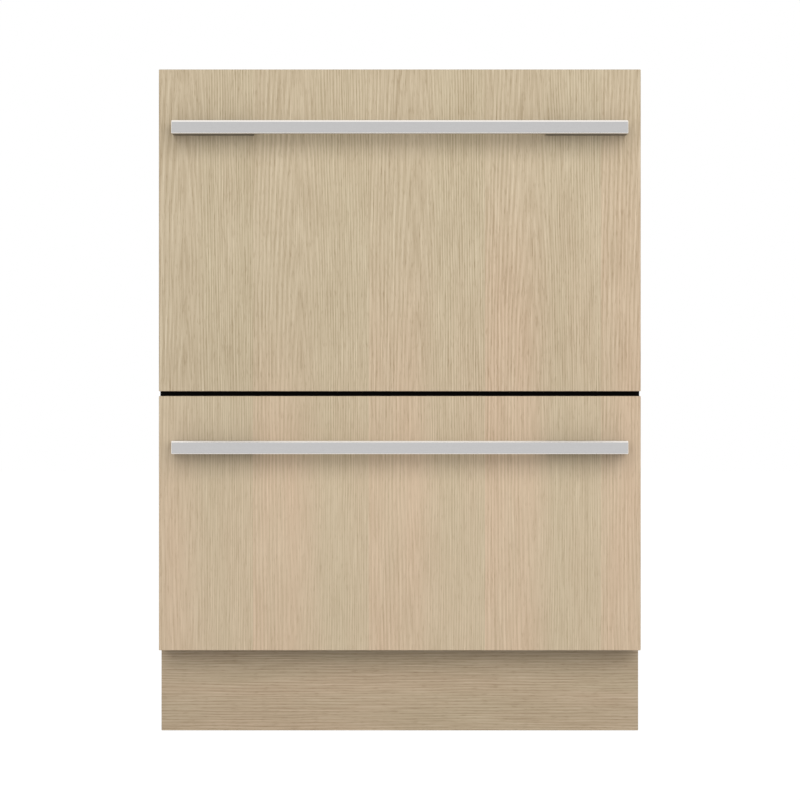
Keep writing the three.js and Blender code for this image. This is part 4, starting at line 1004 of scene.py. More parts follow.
# %% [markdown]
# ## Tubs
#
# The tub is one moulding with a wall 3 mm thick. A single sheet with a Solidify modifier would
# have no rolled rim, so it is one closed skin. It starts under the sump, goes out along the
# floor, up the outside, over the rim, down the inside and back into the sump. Every ring is a
# rounded rectangle, and the sump's rings are circles, which are rounded rectangles whose radius is
# their half width. The base curve is a quarter circle: inset R (1 - sin t), rise R (1 - cos t).
# Small gussets hold the rim from below, and ribs stiffen the floor around the sump.

# %% Tub sections
TUB_HALF_X, TUB_HALF_Y, TUB_CORNER, TUB_WALL = 283.0, 227.5, 42.0, 3.0
TUB_BASE = 22.0
FLOOR_UNDER, FLOOR_TOP = -232.2, -228.2
SUMP_RADIUS, SUMP_UNDER = 78.0, -258.2
LEDGE_Z, LEDGE_DEPTH = -50.0, 1.2
GUSSET_DEPTH, GUSSET_HEIGHT, GUSSET_THICKNESS = 7.5, 20.0, 2.0
GUSSET_XS, GUSSET_YS = np.linspace(-220, 220, 9), np.linspace(-165, 165, 7)
FLOOR_RIBS, RIB_END = 12, 188.0
RIM = ((0, -12), (0.7, -8), (2.6, -5.9), (8, -5.2), (9.6, -4.6), (10, -3.6), (10, -1.4), (9.6, -0.4),
       (8.6, 0), (-1.8, 0), (-2.7, -0.4), (-TUB_WALL, -1.2), (-TUB_WALL, LEDGE_Z + 2), (-3.3, LEDGE_Z + 1))


def tub_rings():
    """Sections [half x, half y, corner radius, z] from under the sump round to its inside."""
    turn = np.linspace(0, math.pi / 2, 7)
    base = np.stack([TUB_BASE * (1 - np.sin(turn)), TUB_BASE * (1 - np.cos(turn))], axis=-1)
    round_part = [(-8, SUMP_UNDER), (-1.6, SUMP_UNDER + 1.2), (0, SUMP_UNDER + 5), (0, FLOOR_UNDER - 3),
                  (1.2, FLOOR_UNDER - 0.8), (4, FLOOR_UNDER)]
    rings = [(SUMP_RADIUS + grow,) * 3 + (z,) for grow, z in round_part]
    walls = [(-inset, 0, FLOOR_UNDER + rise) for inset, rise in base]
    walls += [(grow, grow, z) for grow, z in RIM]
    inside = -TUB_WALL - LEDGE_DEPTH
    walls += [(inside, inside, LEDGE_Z)]
    walls += [(inside - inset, inside, FLOOR_TOP + rise) for inset, rise in base[::-1]]
    rings += [(TUB_HALF_X + grow, TUB_HALF_Y + grow, TUB_CORNER + turn_by, z) for grow, turn_by, z in walls]
    inner = [(2, FLOOR_TOP), (-1.2, FLOOR_TOP - 0.5), (-3, FLOOR_TOP - 3), (-3, SUMP_UNDER + 6),
             (-4.2, SUMP_UNDER + 3.6), (-8, SUMP_UNDER + 3)]
    return rings + [(SUMP_RADIUS + grow,) * 3 + (z,) for grow, z in inner]


print("tub sections", len(tub_rings()))

# %% Tubs with their gussets and ribs
def gusset(x, y, out_x, out_y):
    """A thin triangle under the rim, standing out from the wall at (x, y)."""
    out = np.array([out_x, out_y, 0.0])
    across = np.array([-out_y, out_x, 0.0]) * GUSSET_THICKNESS / 2
    foot = np.array([x, y, -4.8])
    corners = [foot - out, foot + out * GUSSET_DEPTH, foot - out - [0, 0, GUSSET_HEIGHT]]
    points = np.array([c + s * across for s in (-1, 1) for c in corners])
    return points, [[0, 1, 2], [5, 4, 3], [0, 3, 4, 1], [1, 4, 5, 2], [2, 5, 3, 0]]


def tub_stiffeners():
    """Gussets all round, and ribs that run out from the sump under the floor."""
    parts = []
    for x in GUSSET_XS:
        parts += [gusset(x, -TUB_HALF_Y, 0, -1), gusset(x, TUB_HALF_Y, 0, 1)]
    for y in GUSSET_YS:
        parts += [gusset(-TUB_HALF_X, y, -1, 0), gusset(TUB_HALF_X, y, 1, 0)]
    rib = bar((SUMP_RADIUS - 1, RIB_END), about(0, 2.4), (FLOOR_UNDER - 6, FLOOR_UNDER + 1))
    parts += [turned_about_z(rib, 15 + 360 * i / FLOOR_RIBS) for i in range(FLOOR_RIBS)]
    return gathered(parts)


in_drawers("moulded_tub", stack(tub_rings(), steps=10), TUB_PLASTIC, replaces=["tub"])
in_drawers("tub_stiffeners", tub_stiffeners(), TUB_PLASTIC)
bevelled("tub_stiffeners", 0.4 * MM)

# %% [markdown]
# ## Filters
#
# The filter is a grey moulded plate with a cup under it, and steel mesh shows through its slots.
# The holes could be cut one by one, but there are thousands. They are a pattern in the material
# of a thin ring, which lies just under the plate. The plate's form is right in CAD.

# %% Filters
FILTER_TOP = -224.9
MESH_OUTER, MESH_INNER = 67.5, 25.0

for level in LEVELS:
    softened(f"{level}_filter_frame", f"{level}_filter_plate", 0.6 * MM, WASH_PLASTIC, f"{level}_drawer")
mesh_low, mesh_high = FILTER_TOP - 2.0, FILTER_TOP - 1.4
corners = [(radius, z) for radius, z in ((MESH_INNER, mesh_low), (MESH_OUTER, mesh_low))]
corners += [(radius, mesh_high) for radius, _ in corners[::-1]]
mesh_ring = revolved([*corners, corners[0]], (0, 0, 0), 64)
in_drawers("filter_mesh", mesh_ring, PERFORATED_STEEL)

# %% [markdown]
# ## Spray arms
#
# A spray arm is two shells welded together. A flattened cylinder would be round at its edges and
# too thick in its middle, so each blade is a row of superellipses, |x / w|^n + |z / h|^n = 1,
# which are flat on top. Their half width w narrows from the hub and then closes round the tip,
# where w and h follow sqrt(1 - u^2). The nozzles are small craters on top.

# %% Spray arm blades
ARM_MIDDLE_Z = -198.6
ARM_HALF_HEIGHT = 6.0
ARM_REACH, CROSS_REACH = 205.0, 95.0
BLADE_POWER = 2.6
NOZZLES = ((58, -7), (88, 5), (118, -4), (148, 4), (174, -3), (192, 2))
CROSS_NOZZLES = ((50, 4), (78, -3))


def blade(reach, root, tip):
    """A blade along +X, from half width root at the hub to a round end of half width tip."""
    round_end = reach - tip + tip * np.sin(np.linspace(0.15, 1.52, 9))
    along = np.concatenate([np.linspace(0, reach - tip, 16), round_end])
    share = np.clip(along / (reach - tip), 0, 1)
    u = np.clip((along - reach + tip) / tip, 0, 1)
    close = np.sqrt(1 - u**2)
    width = (tip + (root - tip) * (1 - share) ** 1.6) * close
    height = (ARM_HALF_HEIGHT - 1.2 * share) * np.sqrt(close)
    angle = np.arange(28) / 28 * 2 * math.pi
    cos, sin = np.cos(angle), np.sin(angle)
    across = width[:, None] * np.sign(cos) * np.abs(cos) ** (2 / BLADE_POWER)
    up = height[:, None] * np.sign(sin) * np.abs(sin) ** (2 / BLADE_POWER) + ARM_MIDDLE_Z
    return skin(np.stack([np.broadcast_to(along[:, None], across.shape), across, up], axis=-1))


def nozzle(x, y, reach):
    """A crater on the blade's crown."""
    top = ARM_MIDDLE_Z + ARM_HALF_HEIGHT - 1.2 * x / reach
    profile = [(5.4, -2), (4.9, -0.3), (4.0, 0.7), (2.9, 0.9), (2.1, 0.5), (1.6, -0.8), (0.3, -1)]
    return revolved([(r, top + z) for r, z in profile], (x, y, 0), 20)


print("a blade has", len(blade(ARM_REACH, 20, 14)[1]), "faces")

# %% Spray arms
def spray_arm():
    """The hub, two long blades and two short ones, all with nozzles."""
    hub = [(0.3, -208.6), (18, -208.6), (21, -207.9), (23.4, -206), (24, -203.6), (24, -196),
           (23.2, -193.8), (20.5, -191.6), (16, -190), (14, -189.2), (12.6, -188.7), (0.3, -188.6)]
    crown = [(11, -189.6, 0.8), (11, -188.9, 0.8), (10.4, -188.62, 0.6), (0.3, -188.61, 0)]
    parts = [revolved(hub, (0, 0, 0)), fluted(crown, (0, 0, 0), 12)]
    for turn in (0, 180):
        long_blade = [blade(ARM_REACH, 20, 14)] + [nozzle(x, y, ARM_REACH) for x, y in NOZZLES]
        short_blade = [blade(CROSS_REACH, 14, 11)] + [nozzle(x, y, CROSS_REACH) for x, y in CROSS_NOZZLES]
        parts += [turned_about_z(shape, turn) for shape in long_blade]
        parts += [turned_about_z(shape, turn + 90) for shape in short_blade]
    return gathered(parts)


in_drawers("spray_arm_shells", spray_arm(), WASH_PLASTIC, "spray_arm", ["spray_arm"])

# %% [markdown]
# ## Dish racks
#
# The rack is round steel wire with a grey coat. Each hoop is one wire that goes down one side,
# along the floor and up the other, bent at its corners. A curve with a round bevel makes wire
# too, but has to be turned into a mesh. Here a circle is carried along the path straight away.
# Two loops tie the hoops together, and the tines have round tips. Moulded feet carry the rack on
# the tub's floor.

# %% Wires and tines
WIRE_RADIUS, RIM_WIRE_RADIUS, TINE_RADIUS = 1.9, 2.5, 1.75
RACK_X, RACK_FRONT, RACK_BACK = 258.0, -194.5, 210.5
RACK_FLOOR, RACK_RIM, RACK_WAIST = -171.2, -16.5, -94.0
RACK_BEND, LOOP_CORNER = 15.0, 13.0
TINE_TOP, TINE_ROWS, TINE_STEP, TINES = -108.2, (1, 3, 5), 40.0, 9
LEG_XS, LEG_YS = (-184.3, 184.3), (-160.5, 176.5)
hoop_ys = np.linspace(RACK_FRONT, RACK_BACK, 8)
hoop_xs = np.linspace(-RACK_X, RACK_X, 8)


def wire(corners, radius, up, bend=RACK_BEND):
    """A round wire through corner points that lie in the plane square to up."""
    return carried(circle(radius), bent(corners, bend), up)


def loop(half_x, half_y, corner, centre, radius):
    """A round wire that closes on itself, in a level plane."""
    outline = rounded_outline(half_x, half_y, corner, 6)
    path = np.column_stack([outline, np.zeros(len(outline))]) + centre
    return carried(circle(radius), path, (0, 0, 1), closed=True)


def tine(x, y):
    """An upright wire with a domed tip."""
    turn = np.linspace(0, 1.45, 5)
    dome = [(TINE_RADIUS * math.cos(t), TINE_TOP - TINE_RADIUS * (1 - math.sin(t))) for t in turn]
    return revolved([(TINE_RADIUS, RACK_FLOOR), *dome], (x, y, 0), 10)


print("rack wires", len(hoop_ys) + len(hoop_xs) - 2, "and tines", len(TINE_ROWS) * TINES)

# %% Dish racks
def dish_rack():
    """Hoops both ways, the rim and waist loops, and the tines."""
    parts = []
    across = ((-RACK_X, RACK_RIM), (-RACK_X, RACK_FLOOR), (RACK_X, RACK_FLOOR), (RACK_X, RACK_RIM))
    parts += [wire([(x, y, z) for x, z in across], WIRE_RADIUS, (0, 1, 0)) for y in hoop_ys]
    floor_z = RACK_FLOOR + 1
    along = ((RACK_FRONT, RACK_RIM), (RACK_FRONT, floor_z), (RACK_BACK, floor_z), (RACK_BACK, RACK_RIM))
    parts += [wire([(x, y, z) for y, z in along], WIRE_RADIUS, (1, 0, 0)) for x in hoop_xs[1:-1]]
    middle_y, half_y = (RACK_FRONT + RACK_BACK) / 2, (RACK_BACK - RACK_FRONT) / 2
    parts.append(loop(RACK_X, half_y, LOOP_CORNER, (0, middle_y, RACK_RIM), RIM_WIRE_RADIUS))
    parts.append(loop(RACK_X, half_y, LOOP_CORNER, (0, middle_y, RACK_WAIST), WIRE_RADIUS - 0.3))
    tine_xs = TINE_STEP * (np.arange(TINES) - (TINES - 1) / 2)
    parts += [tine(x, hoop_ys[row]) for row in TINE_ROWS for x in tine_xs]
    return gathered(parts)


def rack_foot(x, y):
    """A waisted square post with a saddle for the wire."""
    widths = [(4.6, -227.9), (5.0, -227.2), (5.0, -223), (3.4, -216), (3.2, -188), (4.2, -180), (4.5, -176),
              (4.5, -170.2), (4.0, -169.2)]
    return stack([(half, half, 0.4 * half, z) for half, z in widths], (x, y, 0), steps=3)


in_drawers("wire_dish_rack", dish_rack(), RACK_COATING, replaces=["dish_rack"])
rack_feet = gathered([rack_foot(x, y) for x in LEG_XS for y in LEG_YS])
in_drawers("rack_feet", rack_feet, WASH_PLASTIC)

# %% [markdown]
# ## Fold-down cup racks
#
# Each is a bent wire frame with cross wires, welded to a thicker wire that turns in two clips on
# the dish rack's side. The wires are made as the dish rack's are, and ride on the cup rack's own
# body. The clips stay with the drawer. Their bore is 0.1 mm wider than the wire, so that it can
# turn in them without touching.

# %% Cup racks
SPINE_X, SPINE_Z, SPINE_HALF, SPINE_RADIUS = 252.5, -102.0, 150.0, 3.0
CUP_WIRE_RADIUS, CUP_REACH, CUP_MIDDLE, CUP_WIRES = 1.8, 80.0, 44.0, 8
CLIP_YS = (-112.0, 112.0)


def cup_rack(side):
    """The bent outer wire, the wires inside it, and the spine."""
    x = side * (SPINE_X + 1.0)
    end = SPINE_HALF - 2
    z0, z1 = SPINE_Z, SPINE_Z + CUP_REACH
    corners = [(x, -end, z0), (x, -end, z1), (x, end, z1), (x, end, z0)]
    wires = [wire(corners, CUP_WIRE_RADIUS, (1, 0, 0), 12)]
    wires += [wire([(x, y, z0), (x, y, z1)], CUP_WIRE_RADIUS - 0.2, (1, 0, 0))
              for y in np.linspace(-end, end, CUP_WIRES)[1:-1]]
    middle = z0 + CUP_MIDDLE
    wires.append(wire([(x, -end, middle), (x, end, middle)], CUP_WIRE_RADIUS - 0.3, (1, 0, 0)))
    half_profile = [(0.3, SPINE_HALF), (2.5, SPINE_HALF), (SPINE_RADIUS, SPINE_HALF - 0.6)]
    profile = half_profile + [(radius, -y) for radius, y in half_profile[::-1]]
    return gathered([*wires, revolved(profile, (side * SPINE_X, 0, SPINE_Z), 16, "Y")])


def clip(side, y):
    """A ring with soft edges round the spine."""
    bore = SPINE_RADIUS + 0.1
    profile = [(bore, -5), (3.5, -5), (4.0, -4.4), (4.0, 4.4), (3.5, 5), (bore, 5), (bore, -5)]
    return revolved(profile, (side * SPINE_X, y, SPINE_Z), 20, "Y")


for side_name, side in SIDES:
    node = f"cup_rack_{side_name}"
    in_drawers(f"wire_{node}", cup_rack(side), RACK_COATING, node, [node])
clips = [clip(side, y) for _, side in SIDES for y in CLIP_YS]
in_drawers("cup_rack_clips", gathered(clips), WASH_PLASTIC)

# %% [markdown]
# ## Cutlery baskets
#
# The basket is an open lattice with a deep rim, a band round its middle, two dividers and an
# arched handle. A Wireframe modifier on a box would make all bars alike. They are laid out one
# by one instead, because the rim and the bands are stouter, and a small bevel rounds them all.

# %% Cutlery baskets
BASKET_X, BASKET_Y, BASKET_Z = (-75.0, 75.0), (144.0, 208.0), (-168.9, -50.9)
BASKET_WALL = 2.3
SLATS_LONG, SLATS_SHORT, SLAT = 17, 7, 1.9
BAND_HEIGHTS = (-154.0, -139.0, -124.0, -95.0, -80.0, -66.0)


def basket():
    """Slats up every wall, thin bands round them, three stout bands, and a lattice floor."""
    z0, z1 = BASKET_Z
    wall_ys = [(BASKET_Y[0], BASKET_Y[0] + BASKET_WALL), (BASKET_Y[1] - BASKET_WALL, BASKET_Y[1])]
    divider_xs = [about(x, BASKET_WALL) for x in (-25.0, 25.0)]
    end_xs = [(BASKET_X[0], BASKET_X[0] + BASKET_WALL), (BASKET_X[1] - BASKET_WALL, BASKET_X[1])]
    slat_xs = np.linspace(BASKET_X[0] + 2, BASKET_X[1] - 2, SLATS_LONG)
    slat_ys = np.linspace(BASKET_Y[0] + 2, BASKET_Y[1] - 2, SLATS_SHORT)
    inset = 0.3
    parts = [bar(about(x, SLAT), (y0 + inset, y1 - inset), (z0, z1)) for x in slat_xs for y0, y1 in wall_ys]
    parts += [bar((x0 + inset, x1 - inset), about(y, SLAT), (z0, z1)) for y in slat_ys
              for x0, x1 in end_xs + divider_xs]
    bands = [about(z, 1.6) for z in BAND_HEIGHTS] + [(z0, z0 + 5), about(-110.0, 5.0), (z1 - 6, z1)]
    parts += [bar(BASKET_X, y, band) for band in bands for y in wall_ys]
    parts += [bar(x, BASKET_Y, band) for band in bands for x in end_xs]
    parts += [bar(x, BASKET_Y, band) for band in bands[-3:] for x in divider_xs]
    parts += [bar(about(x, SLAT), BASKET_Y, (z0, z0 + 1.8)) for x in slat_xs]
    parts += [bar(BASKET_X, about(y, SLAT), (z0, z0 + 1.8)) for y in slat_ys]
    return gathered(parts)


def basket_handle():
    """An arch over the middle cell."""
    y, z = sum(BASKET_Y) / 2, BASKET_Z[1]
    path = [(-26, y, z - 4), (-26, y, z + 20), (26, y, z + 20), (26, y, z - 4)]
    flat = [(a * 1.8, b * 1.1) for a, b in circle(1.6, 14)]
    return carried(flat, bent(path, 12), (0, 1, 0))


in_drawers("lattice_basket", basket(), WASH_PLASTIC, replaces=["cutlery_basket"])
bevelled("lattice_basket", 0.3 * MM)
in_drawers("basket_handle", basket_handle(), WASH_PLASTIC)

# %% [markdown]
# ## Detergent dispensers
#
# The housing and its sliding door keep their CAD shapes with soft edges. The rinse-aid cap is
# fluted, with a bar to turn it by, and a small window beside it shows the level. The flutes
# could be cut with an array of cylinders, but a radius that waves round the cap makes them in
# the same step. The ridges that a thumb pushes ride on the door.

# %% Dispensers
FACE_Y = -210.2
CAP_X, CAP_Z = 54.0, -98.0
WINDOW_Z = -70.0
RIDGE_XS = (-14.0, -10.0, -6.0, 6.0, 10.0, 14.0)

for level in LEVELS:
    softened(f"{level}_dispenser_housing", f"{level}_dispenser", 0.7 * MM, WHITE_MOULDING, f"{level}_drawer")
    softened(f"{level}_sliding_door", f"{level}_detergent_door", 0.5 * MM, WASH_PLASTIC,
             f"{level}_detergent_door")
cap = [(13.6, 1.5, 0.7), (13.6, 3.4, 0.7), (12.9, 4.0, 0.5), (11.8, 4.1, 0), (11.2, 3.5, 0), (0.3, 3.4, 0)]
grip = rounded_box((CAP_X - 10.5, FACE_Y + 2.6, CAP_Z - 1.9), (CAP_X + 10.5, FACE_Y + 4.9, CAP_Z + 1.9), 0.8)
rinse_aid_cap = gathered([fluted(cap, (CAP_X, FACE_Y, CAP_Z), 24, axis="Y"), grip])
in_drawers("rinse_aid_cap", rinse_aid_cap, WASH_PLASTIC)
dome = [(3.6, -0.5), (3.6, 0.2), (3.2, 0.6), (2.0, 0.9), (0.3, 1.0)]
lens = revolved(dome, (CAP_X, FACE_Y, WINDOW_Z), 24, "Y")
in_drawers("rinse_aid_window", lens, STRIP_GLOSS)
ridges = [rounded_box((x - 0.7, FACE_Y + 2.2, -110), (x + 0.7, FACE_Y + 3.3, -86), 0.5) for x in RIDGE_XS]
in_drawers("door_ridges", gathered(ridges), WASH_PLASTIC, "detergent_door")

# %% [markdown]
# ## Lids and seals
#
# The lid is a ribbed moulding, and its CAD form only needs softer edges. Its seal is a rubber
# strip with a bulb. A torus would be round all over, so the strip's own section, with its foot
# and its bulb, is carried round the rim. Both stay with the cabinet when the drawer opens.

# %% Lids and seals
SEAL_HALF_X, SEAL_HALF_Y, SEAL_CORNER = 285.25, 229.75, 42.0
SEAL_Z = (0.3, 5.3)
BULB_RADIUS = 2.35

for level in LEVELS:
    softened(f"{level}_ribbed_lid", f"{level}_lid", 0.8 * MM, WHITE_MOULDING, f"{level}_lid")
bulb_turn = np.radians(np.linspace(-25, 205, 14))
bulb = zip(BULB_RADIUS * np.cos(bulb_turn), SEAL_Z[1] - BULB_RADIUS + BULB_RADIUS * np.sin(bulb_turn))
foot_edge = [(3.5, SEAL_Z[0]), (3.7, 0.7), (3.3, 1.3)]
seal_section = [*foot_edge, *bulb, *[(-x, z) for x, z in foot_edge[::-1]]]
outline = rounded_outline(SEAL_HALF_X, SEAL_HALF_Y, SEAL_CORNER, 12)
seal_path = np.column_stack([outline, np.zeros(len(outline))])
in_drawers("bulb_seal", carried(seal_section, seal_path, (0, 0, 1), closed=True), SEAL_RUBBER,
           "lid", ["lid_seal"])

# %% [markdown]
# ## Wash motors
#
# Under each sump hangs the pump motor: a black can with cooling flutes round its side, a stepped
# cover and a socket for its plug. Few people see it, so it is one turned shape whose side waves,
# and not a can with separate fins.

# %% Wash motors
FLUTES = 36
cover = [(0.3, -286.5, 0), (32.5, -286.5, 0), (34, -286, 0), (37.6, -282, 0), (39, -281.5, 0),
         (56.5, -281.5, 0)]
side_wall = [(60, -279.8, 0), (62, -276.6, 0), (62, -275, 1.6), (62, -265, 1.6), (62, -263.5, 0)]
top = [(61, -260.6, 0), (58, -258.9, 0), (54, -258.5, 0), (0.3, -258.5, 0)]
motor = [fluted(cover + side_wall + top, (0, 0, 0), FLUTES, 4 * FLUTES)]
motor.append(rounded_box((-20, 30, -277.5), (20, 78, -262.5), 2.2))
motor += [rounded_box((x - 1.6, 74, -272), (x + 1.6, 79, -268), 0.6) for x in (-12, -4, 4, 12)]
in_drawers("motor_can", gathered(motor), BLACK_PLASTIC, replaces=["wash_motor"])

# %% [markdown]
# ## Front frames, control strips and buttons
#
# The strip lies in the top edge of each frame, and shows only when the drawer is open. It has two
# buttons with the usual power and start signs, and a row of lamp windows. The signs could be
# painted on with a texture, but then they would blur from close by. They are thin plates on the
# buttons' own bodies, so they go down with them.

# %% Signs
MARK_THICKNESS = 0.12
LAMP_XS = np.linspace(-60, 60, 7)


def flat_mark(outline):
    """A thin plate with the given outline, standing on the level z = 0."""
    outline = np.asarray(outline, float)
    rings = [np.column_stack([outline, np.full(len(outline), h)]) for h in (-0.1, MARK_THICKNESS)]
    return skin(np.array(rings))


def arc_mark(radius, width, start, end):
    """The outline of a bent bar, from one angle to another in degrees."""
    turn = np.radians(np.linspace(start, end, 24))
    outer = (radius + width / 2) * np.stack([np.cos(turn), np.sin(turn)], axis=-1)
    inner = (radius - width / 2) * np.stack([np.cos(turn), np.sin(turn)], axis=-1)
    return np.concatenate([outer, inner[::-1]])


def oblong(x, y, half_x, half_y):
    """The outline of an upright oblong."""
    return [(x + a * half_x, y + b * half_y) for a, b in ((-1, -1), (1, -1), (1, 1), (-1, 1))]


power_sign = [arc_mark(2.3, 0.6, 125, 415), oblong(0, 1.7, 0.3, 1.2)]
start_sign = [[(-2.4, -2.0), (0.4, 0), (-2.4, 2.0)], oblong(1.3, 0, 0.3, 2.0), oblong(2.6, 0, 0.3, 2.0)]
print("signs: power", len(power_sign), "outlines, start", len(start_sign))

# %% Frames, strips and buttons
def top_middle(node):
    """The middle of a node's top."""
    low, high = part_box(node)
    return np.array([(low[0] + high[0]) / 2, (low[1] + high[1]) / 2, high[2]])


def button(level, kind, sign):
    """A button's cap and the sign on it, both on the button's own body."""
    body = f"{level}_{kind}_button"
    softened(f"{body}_cap", body, 0.6 * MM, BUTTON_SILVER, body, 3)
    marks = gathered([flat_mark(outline) for outline in sign])
    piece(f"{body}_sign", placed(marks, top_middle(body)), BLACK_PLASTIC, body)


lamps = gathered([rounded_box((x - 4, -0.9, -0.3), (x + 4, 0.9, 0.15), 0.14, 2) for x in LAMP_XS])
for level in LEVELS:
    drawer, frame_node, strip = (f"{level}_{part}" for part in ("drawer", "front_frame", "control_strip"))
    softened(f"{level}_inner_front", frame_node, 1.0 * MM, FRAME_PLASTIC, drawer)
    softened(f"{level}_gloss_strip", strip, 0.4 * MM, STRIP_GLOSS, drawer)
    button(level, "power", power_sign)
    button(level, "start", start_sign)
    on_strip = placed(lamps, top_middle(strip) * [0, 1, 1])
    piece(f"{level}_lamp_windows", on_strip, LAMP_GREY, drawer)

# %% [markdown]
# ## Slides
#
# Every slide has three nested channels. The outer one is fixed to the chassis, the inner one
# carries the drawer, and the middle one follows at half the travel. One stretched channel would
# look the same when it is shut, but would tear when the drawer opens. So each channel is a piece
# on its own body, and its folded CAD form only gets softer edges.

# %% Slides
for level in LEVELS:
    for side_name, _ in SIDES:
        middle = f"{level}_middle_slide_{side_name}"
        bodies = {"fixed": "chassis", "middle": middle, "inner": f"{level}_drawer"}
        for kind, body in bodies.items():
            node = f"{level}_{kind}_slide_{side_name}"
            softened(f"{node}_channel", node, 0.35 * MM, SLIDE_STEEL, body)

# %% [markdown]
# ## Chassis
#
# Folded galvanised sheet with pressed beads, a black brace between the drawers, and a black drip
# tray. The sheets are right in CAD. Screws with a six-lobed socket hold the slides and the
# sheets. Their heads are flat, because the appliance slides into its opening. A boolean cut would
# make the sockets, but a radius that waves six times on the way down makes head and socket at once.

# %% Screws
SCREW_RADIUS = 3.4


def screw(centre, axis, sign, radius=SCREW_RADIUS):
    """A low round head whose socket has six lobes, facing along sign times the axis."""
    profile = [(radius, -0.4, 0), (radius, 0.1, 0), (0.92 * radius, 0.3, 0), (0.62 * radius, 0.38, 0),
               (0.5 * radius, 0.36, 0.3 * radius), (0.46 * radius, -0.3, 0.28 * radius), (0.1, -0.32, 0)]
    return fluted([(r, sign * d, wave) for r, d, wave in profile], centre, 6, 48, axis)


print("a screw has", len(screw((0, 0, 0), "X", 1)[1]), "faces")

# %% [markdown]
# The photograph shows the line between the drawers black from end to end. The brace's nose is
# lower than that line, so its front face is widened until it fills the line. A black strip laid
# over it would do the same, but would be a piece that the real appliance doesn't have.

# %% Chassis
NOSE_HALF_HEIGHT, NOSE_EDGE = 3.4 * MM, 0.1 * MM
SCREW_FROM_END, SCREW_FROM_SIDE = 24, 10
TOP_SCREW_YS, BACK_SCREW_ZS = np.linspace(-150, 290, 4), np.linspace(60, 790, 5)


def chassis_screws():
    """Three through each side for every slide, and a row along the top and back edges."""
    low, high = (np.array(v) / MM for v in (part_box("side_panel_left")[0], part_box("side_panel_right")[1]))
    heads = []
    for level in LEVELS:
        slide_low, slide_high = (np.array(v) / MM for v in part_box(f"{level}_fixed_slide_right"))
        z = (slide_low[2] + slide_high[2]) / 2
        for y in np.linspace(slide_low[1] + SCREW_FROM_END, slide_high[1] - SCREW_FROM_END, 3):
            heads += [screw((low[0], y, z), "X", -1), screw((high[0], y, z), "X", 1)]
    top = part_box("top_panel")[1][2] / MM
    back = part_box("back_panel")[1][1] / MM
    for x in (low[0] + SCREW_FROM_SIDE, high[0] - SCREW_FROM_SIDE):
        heads += [screw((x, y, top), "Z", 1) for y in TOP_SCREW_YS]
        heads += [screw((x, back, z), "Y", 1) for z in BACK_SCREW_ZS]
    return gathered(heads)


def flared(made, half_height):
    """Widens the brace's nose towards its front face, until the face is twice half_height tall."""
    points = np.empty(len(made.data.vertices) * 3)
    made.data.vertices.foreach_get("co", points)
    points = points.reshape(-1, 3)
    tip = points[:, 1] < points[:, 1].min() + NOSE_EDGE
    heights = points[tip, 2]
    middle = (heights.min() + heights.max()) / 2
    points[tip, 2] = middle + np.sign(heights - middle) * half_height
    made.data.vertices.foreach_set("co", points.ravel())


for node in ("side_panel_left", "side_panel_right", "back_panel", "top_panel"):
    softened(f"{node}_sheet", node, 0.3 * MM, GALVANISED, "chassis")
brace = softened("black_brace", "middle_brace", 0.5 * MM, BLACK_TRIM, "chassis")
flared(brace, NOSE_HALF_HEIGHT)
softened("drip_tray", "base_tray", 1.0 * MM, BLACK_PLASTIC, "chassis")
piece("chassis_screws", placed(chassis_screws(), np.zeros(3)), SLIDE_STEEL, "chassis")

# %% [markdown]
# ## Inlet valve
#
# A moulded body with a round coil on top of it, two tags for its wires, and a threaded stub that
# faces the cut-out in the back. A screw modifier would wind a true thread. At this size rings
# look the same, so the thread is a saw-tooth profile turned about the stub.

# %% Inlet valve
STUB_RADIUS, STUB_BORE, STUB_LENGTH, THREAD_PITCH = 13.0, 8.0, 22.0, 2.2


def inlet_valve():
    """The body, coil, tags and stub. The thread is a row of ridges round the stub."""
    low, high = (np.array(v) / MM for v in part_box("inlet_valve"))
    x = (low[0] + high[0]) / 2
    stub_start = high[1] - STUB_LENGTH
    middle_y = (low[1] + stub_start) / 2
    stub_z = low[2] + 26
    block = rounded_box(low, (high[0], stub_start, low[2] + 34), 3)
    coil = [(12.2, 33), (12.8, 34.2), (12.8, 49.6), (12.2, 50.6), (7, 51), (6, 52), (0.3, 52)]
    tag = rounded_box((-2.6, 0.6, 40), (2.6, 1.6, 50), 0.3)
    tags = [(tag[0] + [x + offset, low[1], low[2]], tag[1]) for offset in (-6, 6)]
    root = STUB_RADIUS - 0.9
    thread = [(root, stub_start - 1)]
    for y in np.arange(stub_start + 6, high[1] - THREAD_PITCH, THREAD_PITCH):
        thread += [(root, y), (STUB_RADIUS, y + THREAD_PITCH / 2), (root, y + THREAD_PITCH)]
    bore_end = stub_start + 2
    thread += [(root, high[1]), (STUB_BORE, high[1]), (STUB_BORE, bore_end), (0.3, bore_end)]
    stub = revolved(thread, (x, 0, stub_z), 40, "Y")
    return gathered([block, revolved(coil, (x, middle_y, low[2])), *tags, stub])


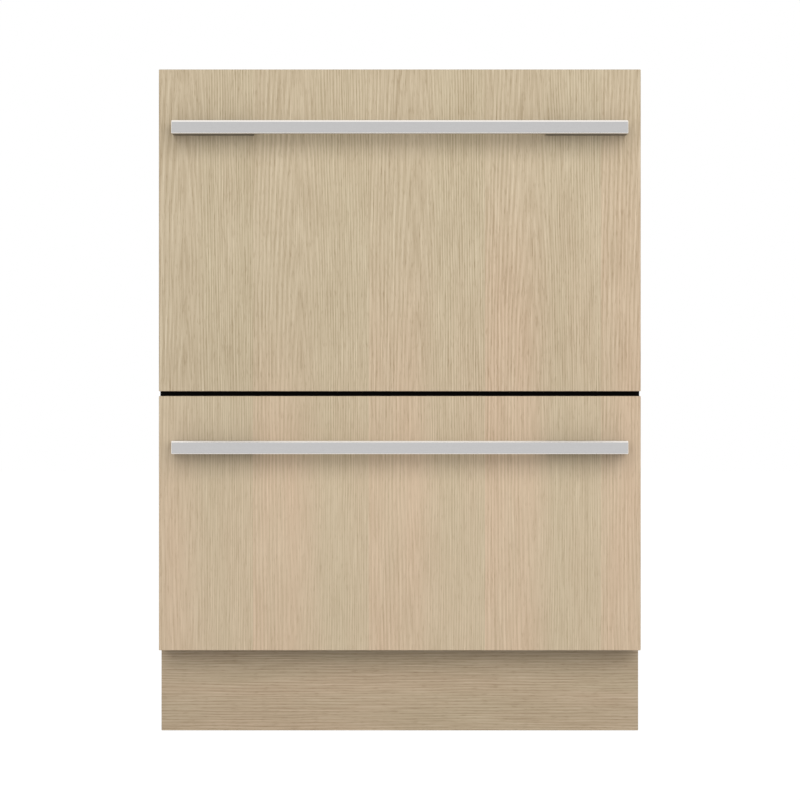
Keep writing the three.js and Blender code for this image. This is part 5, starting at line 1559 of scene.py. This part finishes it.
valve = placed(inlet_valve(), np.zeros(3))
piece("moulded_inlet_valve", valve, WHITE_MOULDING, "chassis", ["inlet_valve"])

# %% [markdown]
# ## Levelling feet
#
# Each foot is a rubber-edged pad on a neck, a hexagon nut under the tray, and a threaded stem
# made as the valve's thread is. The nut is a turned shape with only six sides, which is all that
# a hexagon is. Each foot rides on its own body, because it turns.

# %% Levelling feet
FOOT_PAD = 20.0
NUT_RADIUS, NUT_Z = 12.0, (15.7, 27.7)
STEM_RADIUS, STEM_TOP, STEM_PITCH = 5.0, 58.0, 1.5


def levelling_foot():
    """Pad and neck, nut, and threaded stem."""
    low, high = NUT_Z
    pad = [(0.3, 0), (17.4, 0), (19.2, 0.5), (FOOT_PAD, 1.8), (FOOT_PAD, 3.6), (19, 4.9), (14, 5.8),
           (10, 8), (8.6, 10.5), (8.4, low + 0.5), (0.3, low + 0.5)]
    nut = [(9.6, low), (NUT_RADIUS, low + 1.4), (NUT_RADIUS, high - 1.4), (9.6, high), (0.3, high)]
    stem = [(STEM_RADIUS - 0.6, high - 1)]
    for z in np.arange(high, STEM_TOP - STEM_PITCH - 1, STEM_PITCH):
        stem += [(STEM_RADIUS, z + STEM_PITCH / 2), (STEM_RADIUS - 0.6, z + STEM_PITCH)]
    stem += [(STEM_RADIUS - 1.2, STEM_TOP), (0.3, STEM_TOP)]
    return gathered([revolved(pad, (0, 0, 0)), revolved(nut, (0, 0, 0), 6), revolved(stem, (0, 0, 0), 24)])


for corner in ("front_left", "front_right", "rear_left", "rear_right"):
    node = f"levelling_foot_{corner}"
    low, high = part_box(node)
    spot = np.array([(low[0] + high[0]) / 2, (low[1] + high[1]) / 2, 0.0])
    piece(f"threaded_{node}", placed(levelling_foot(), spot), BLACK_PLASTIC, node, [node])

# %% [markdown]
# ## Sizes
#
# The box of everything visible is printed, in millimetres. It could be read off the viewport, but
# then nobody would notice a later change.

# %% Print the sizes
low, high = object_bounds()
print("visual", [round(float(v) / MM, 1) for v in high - low], "mm")
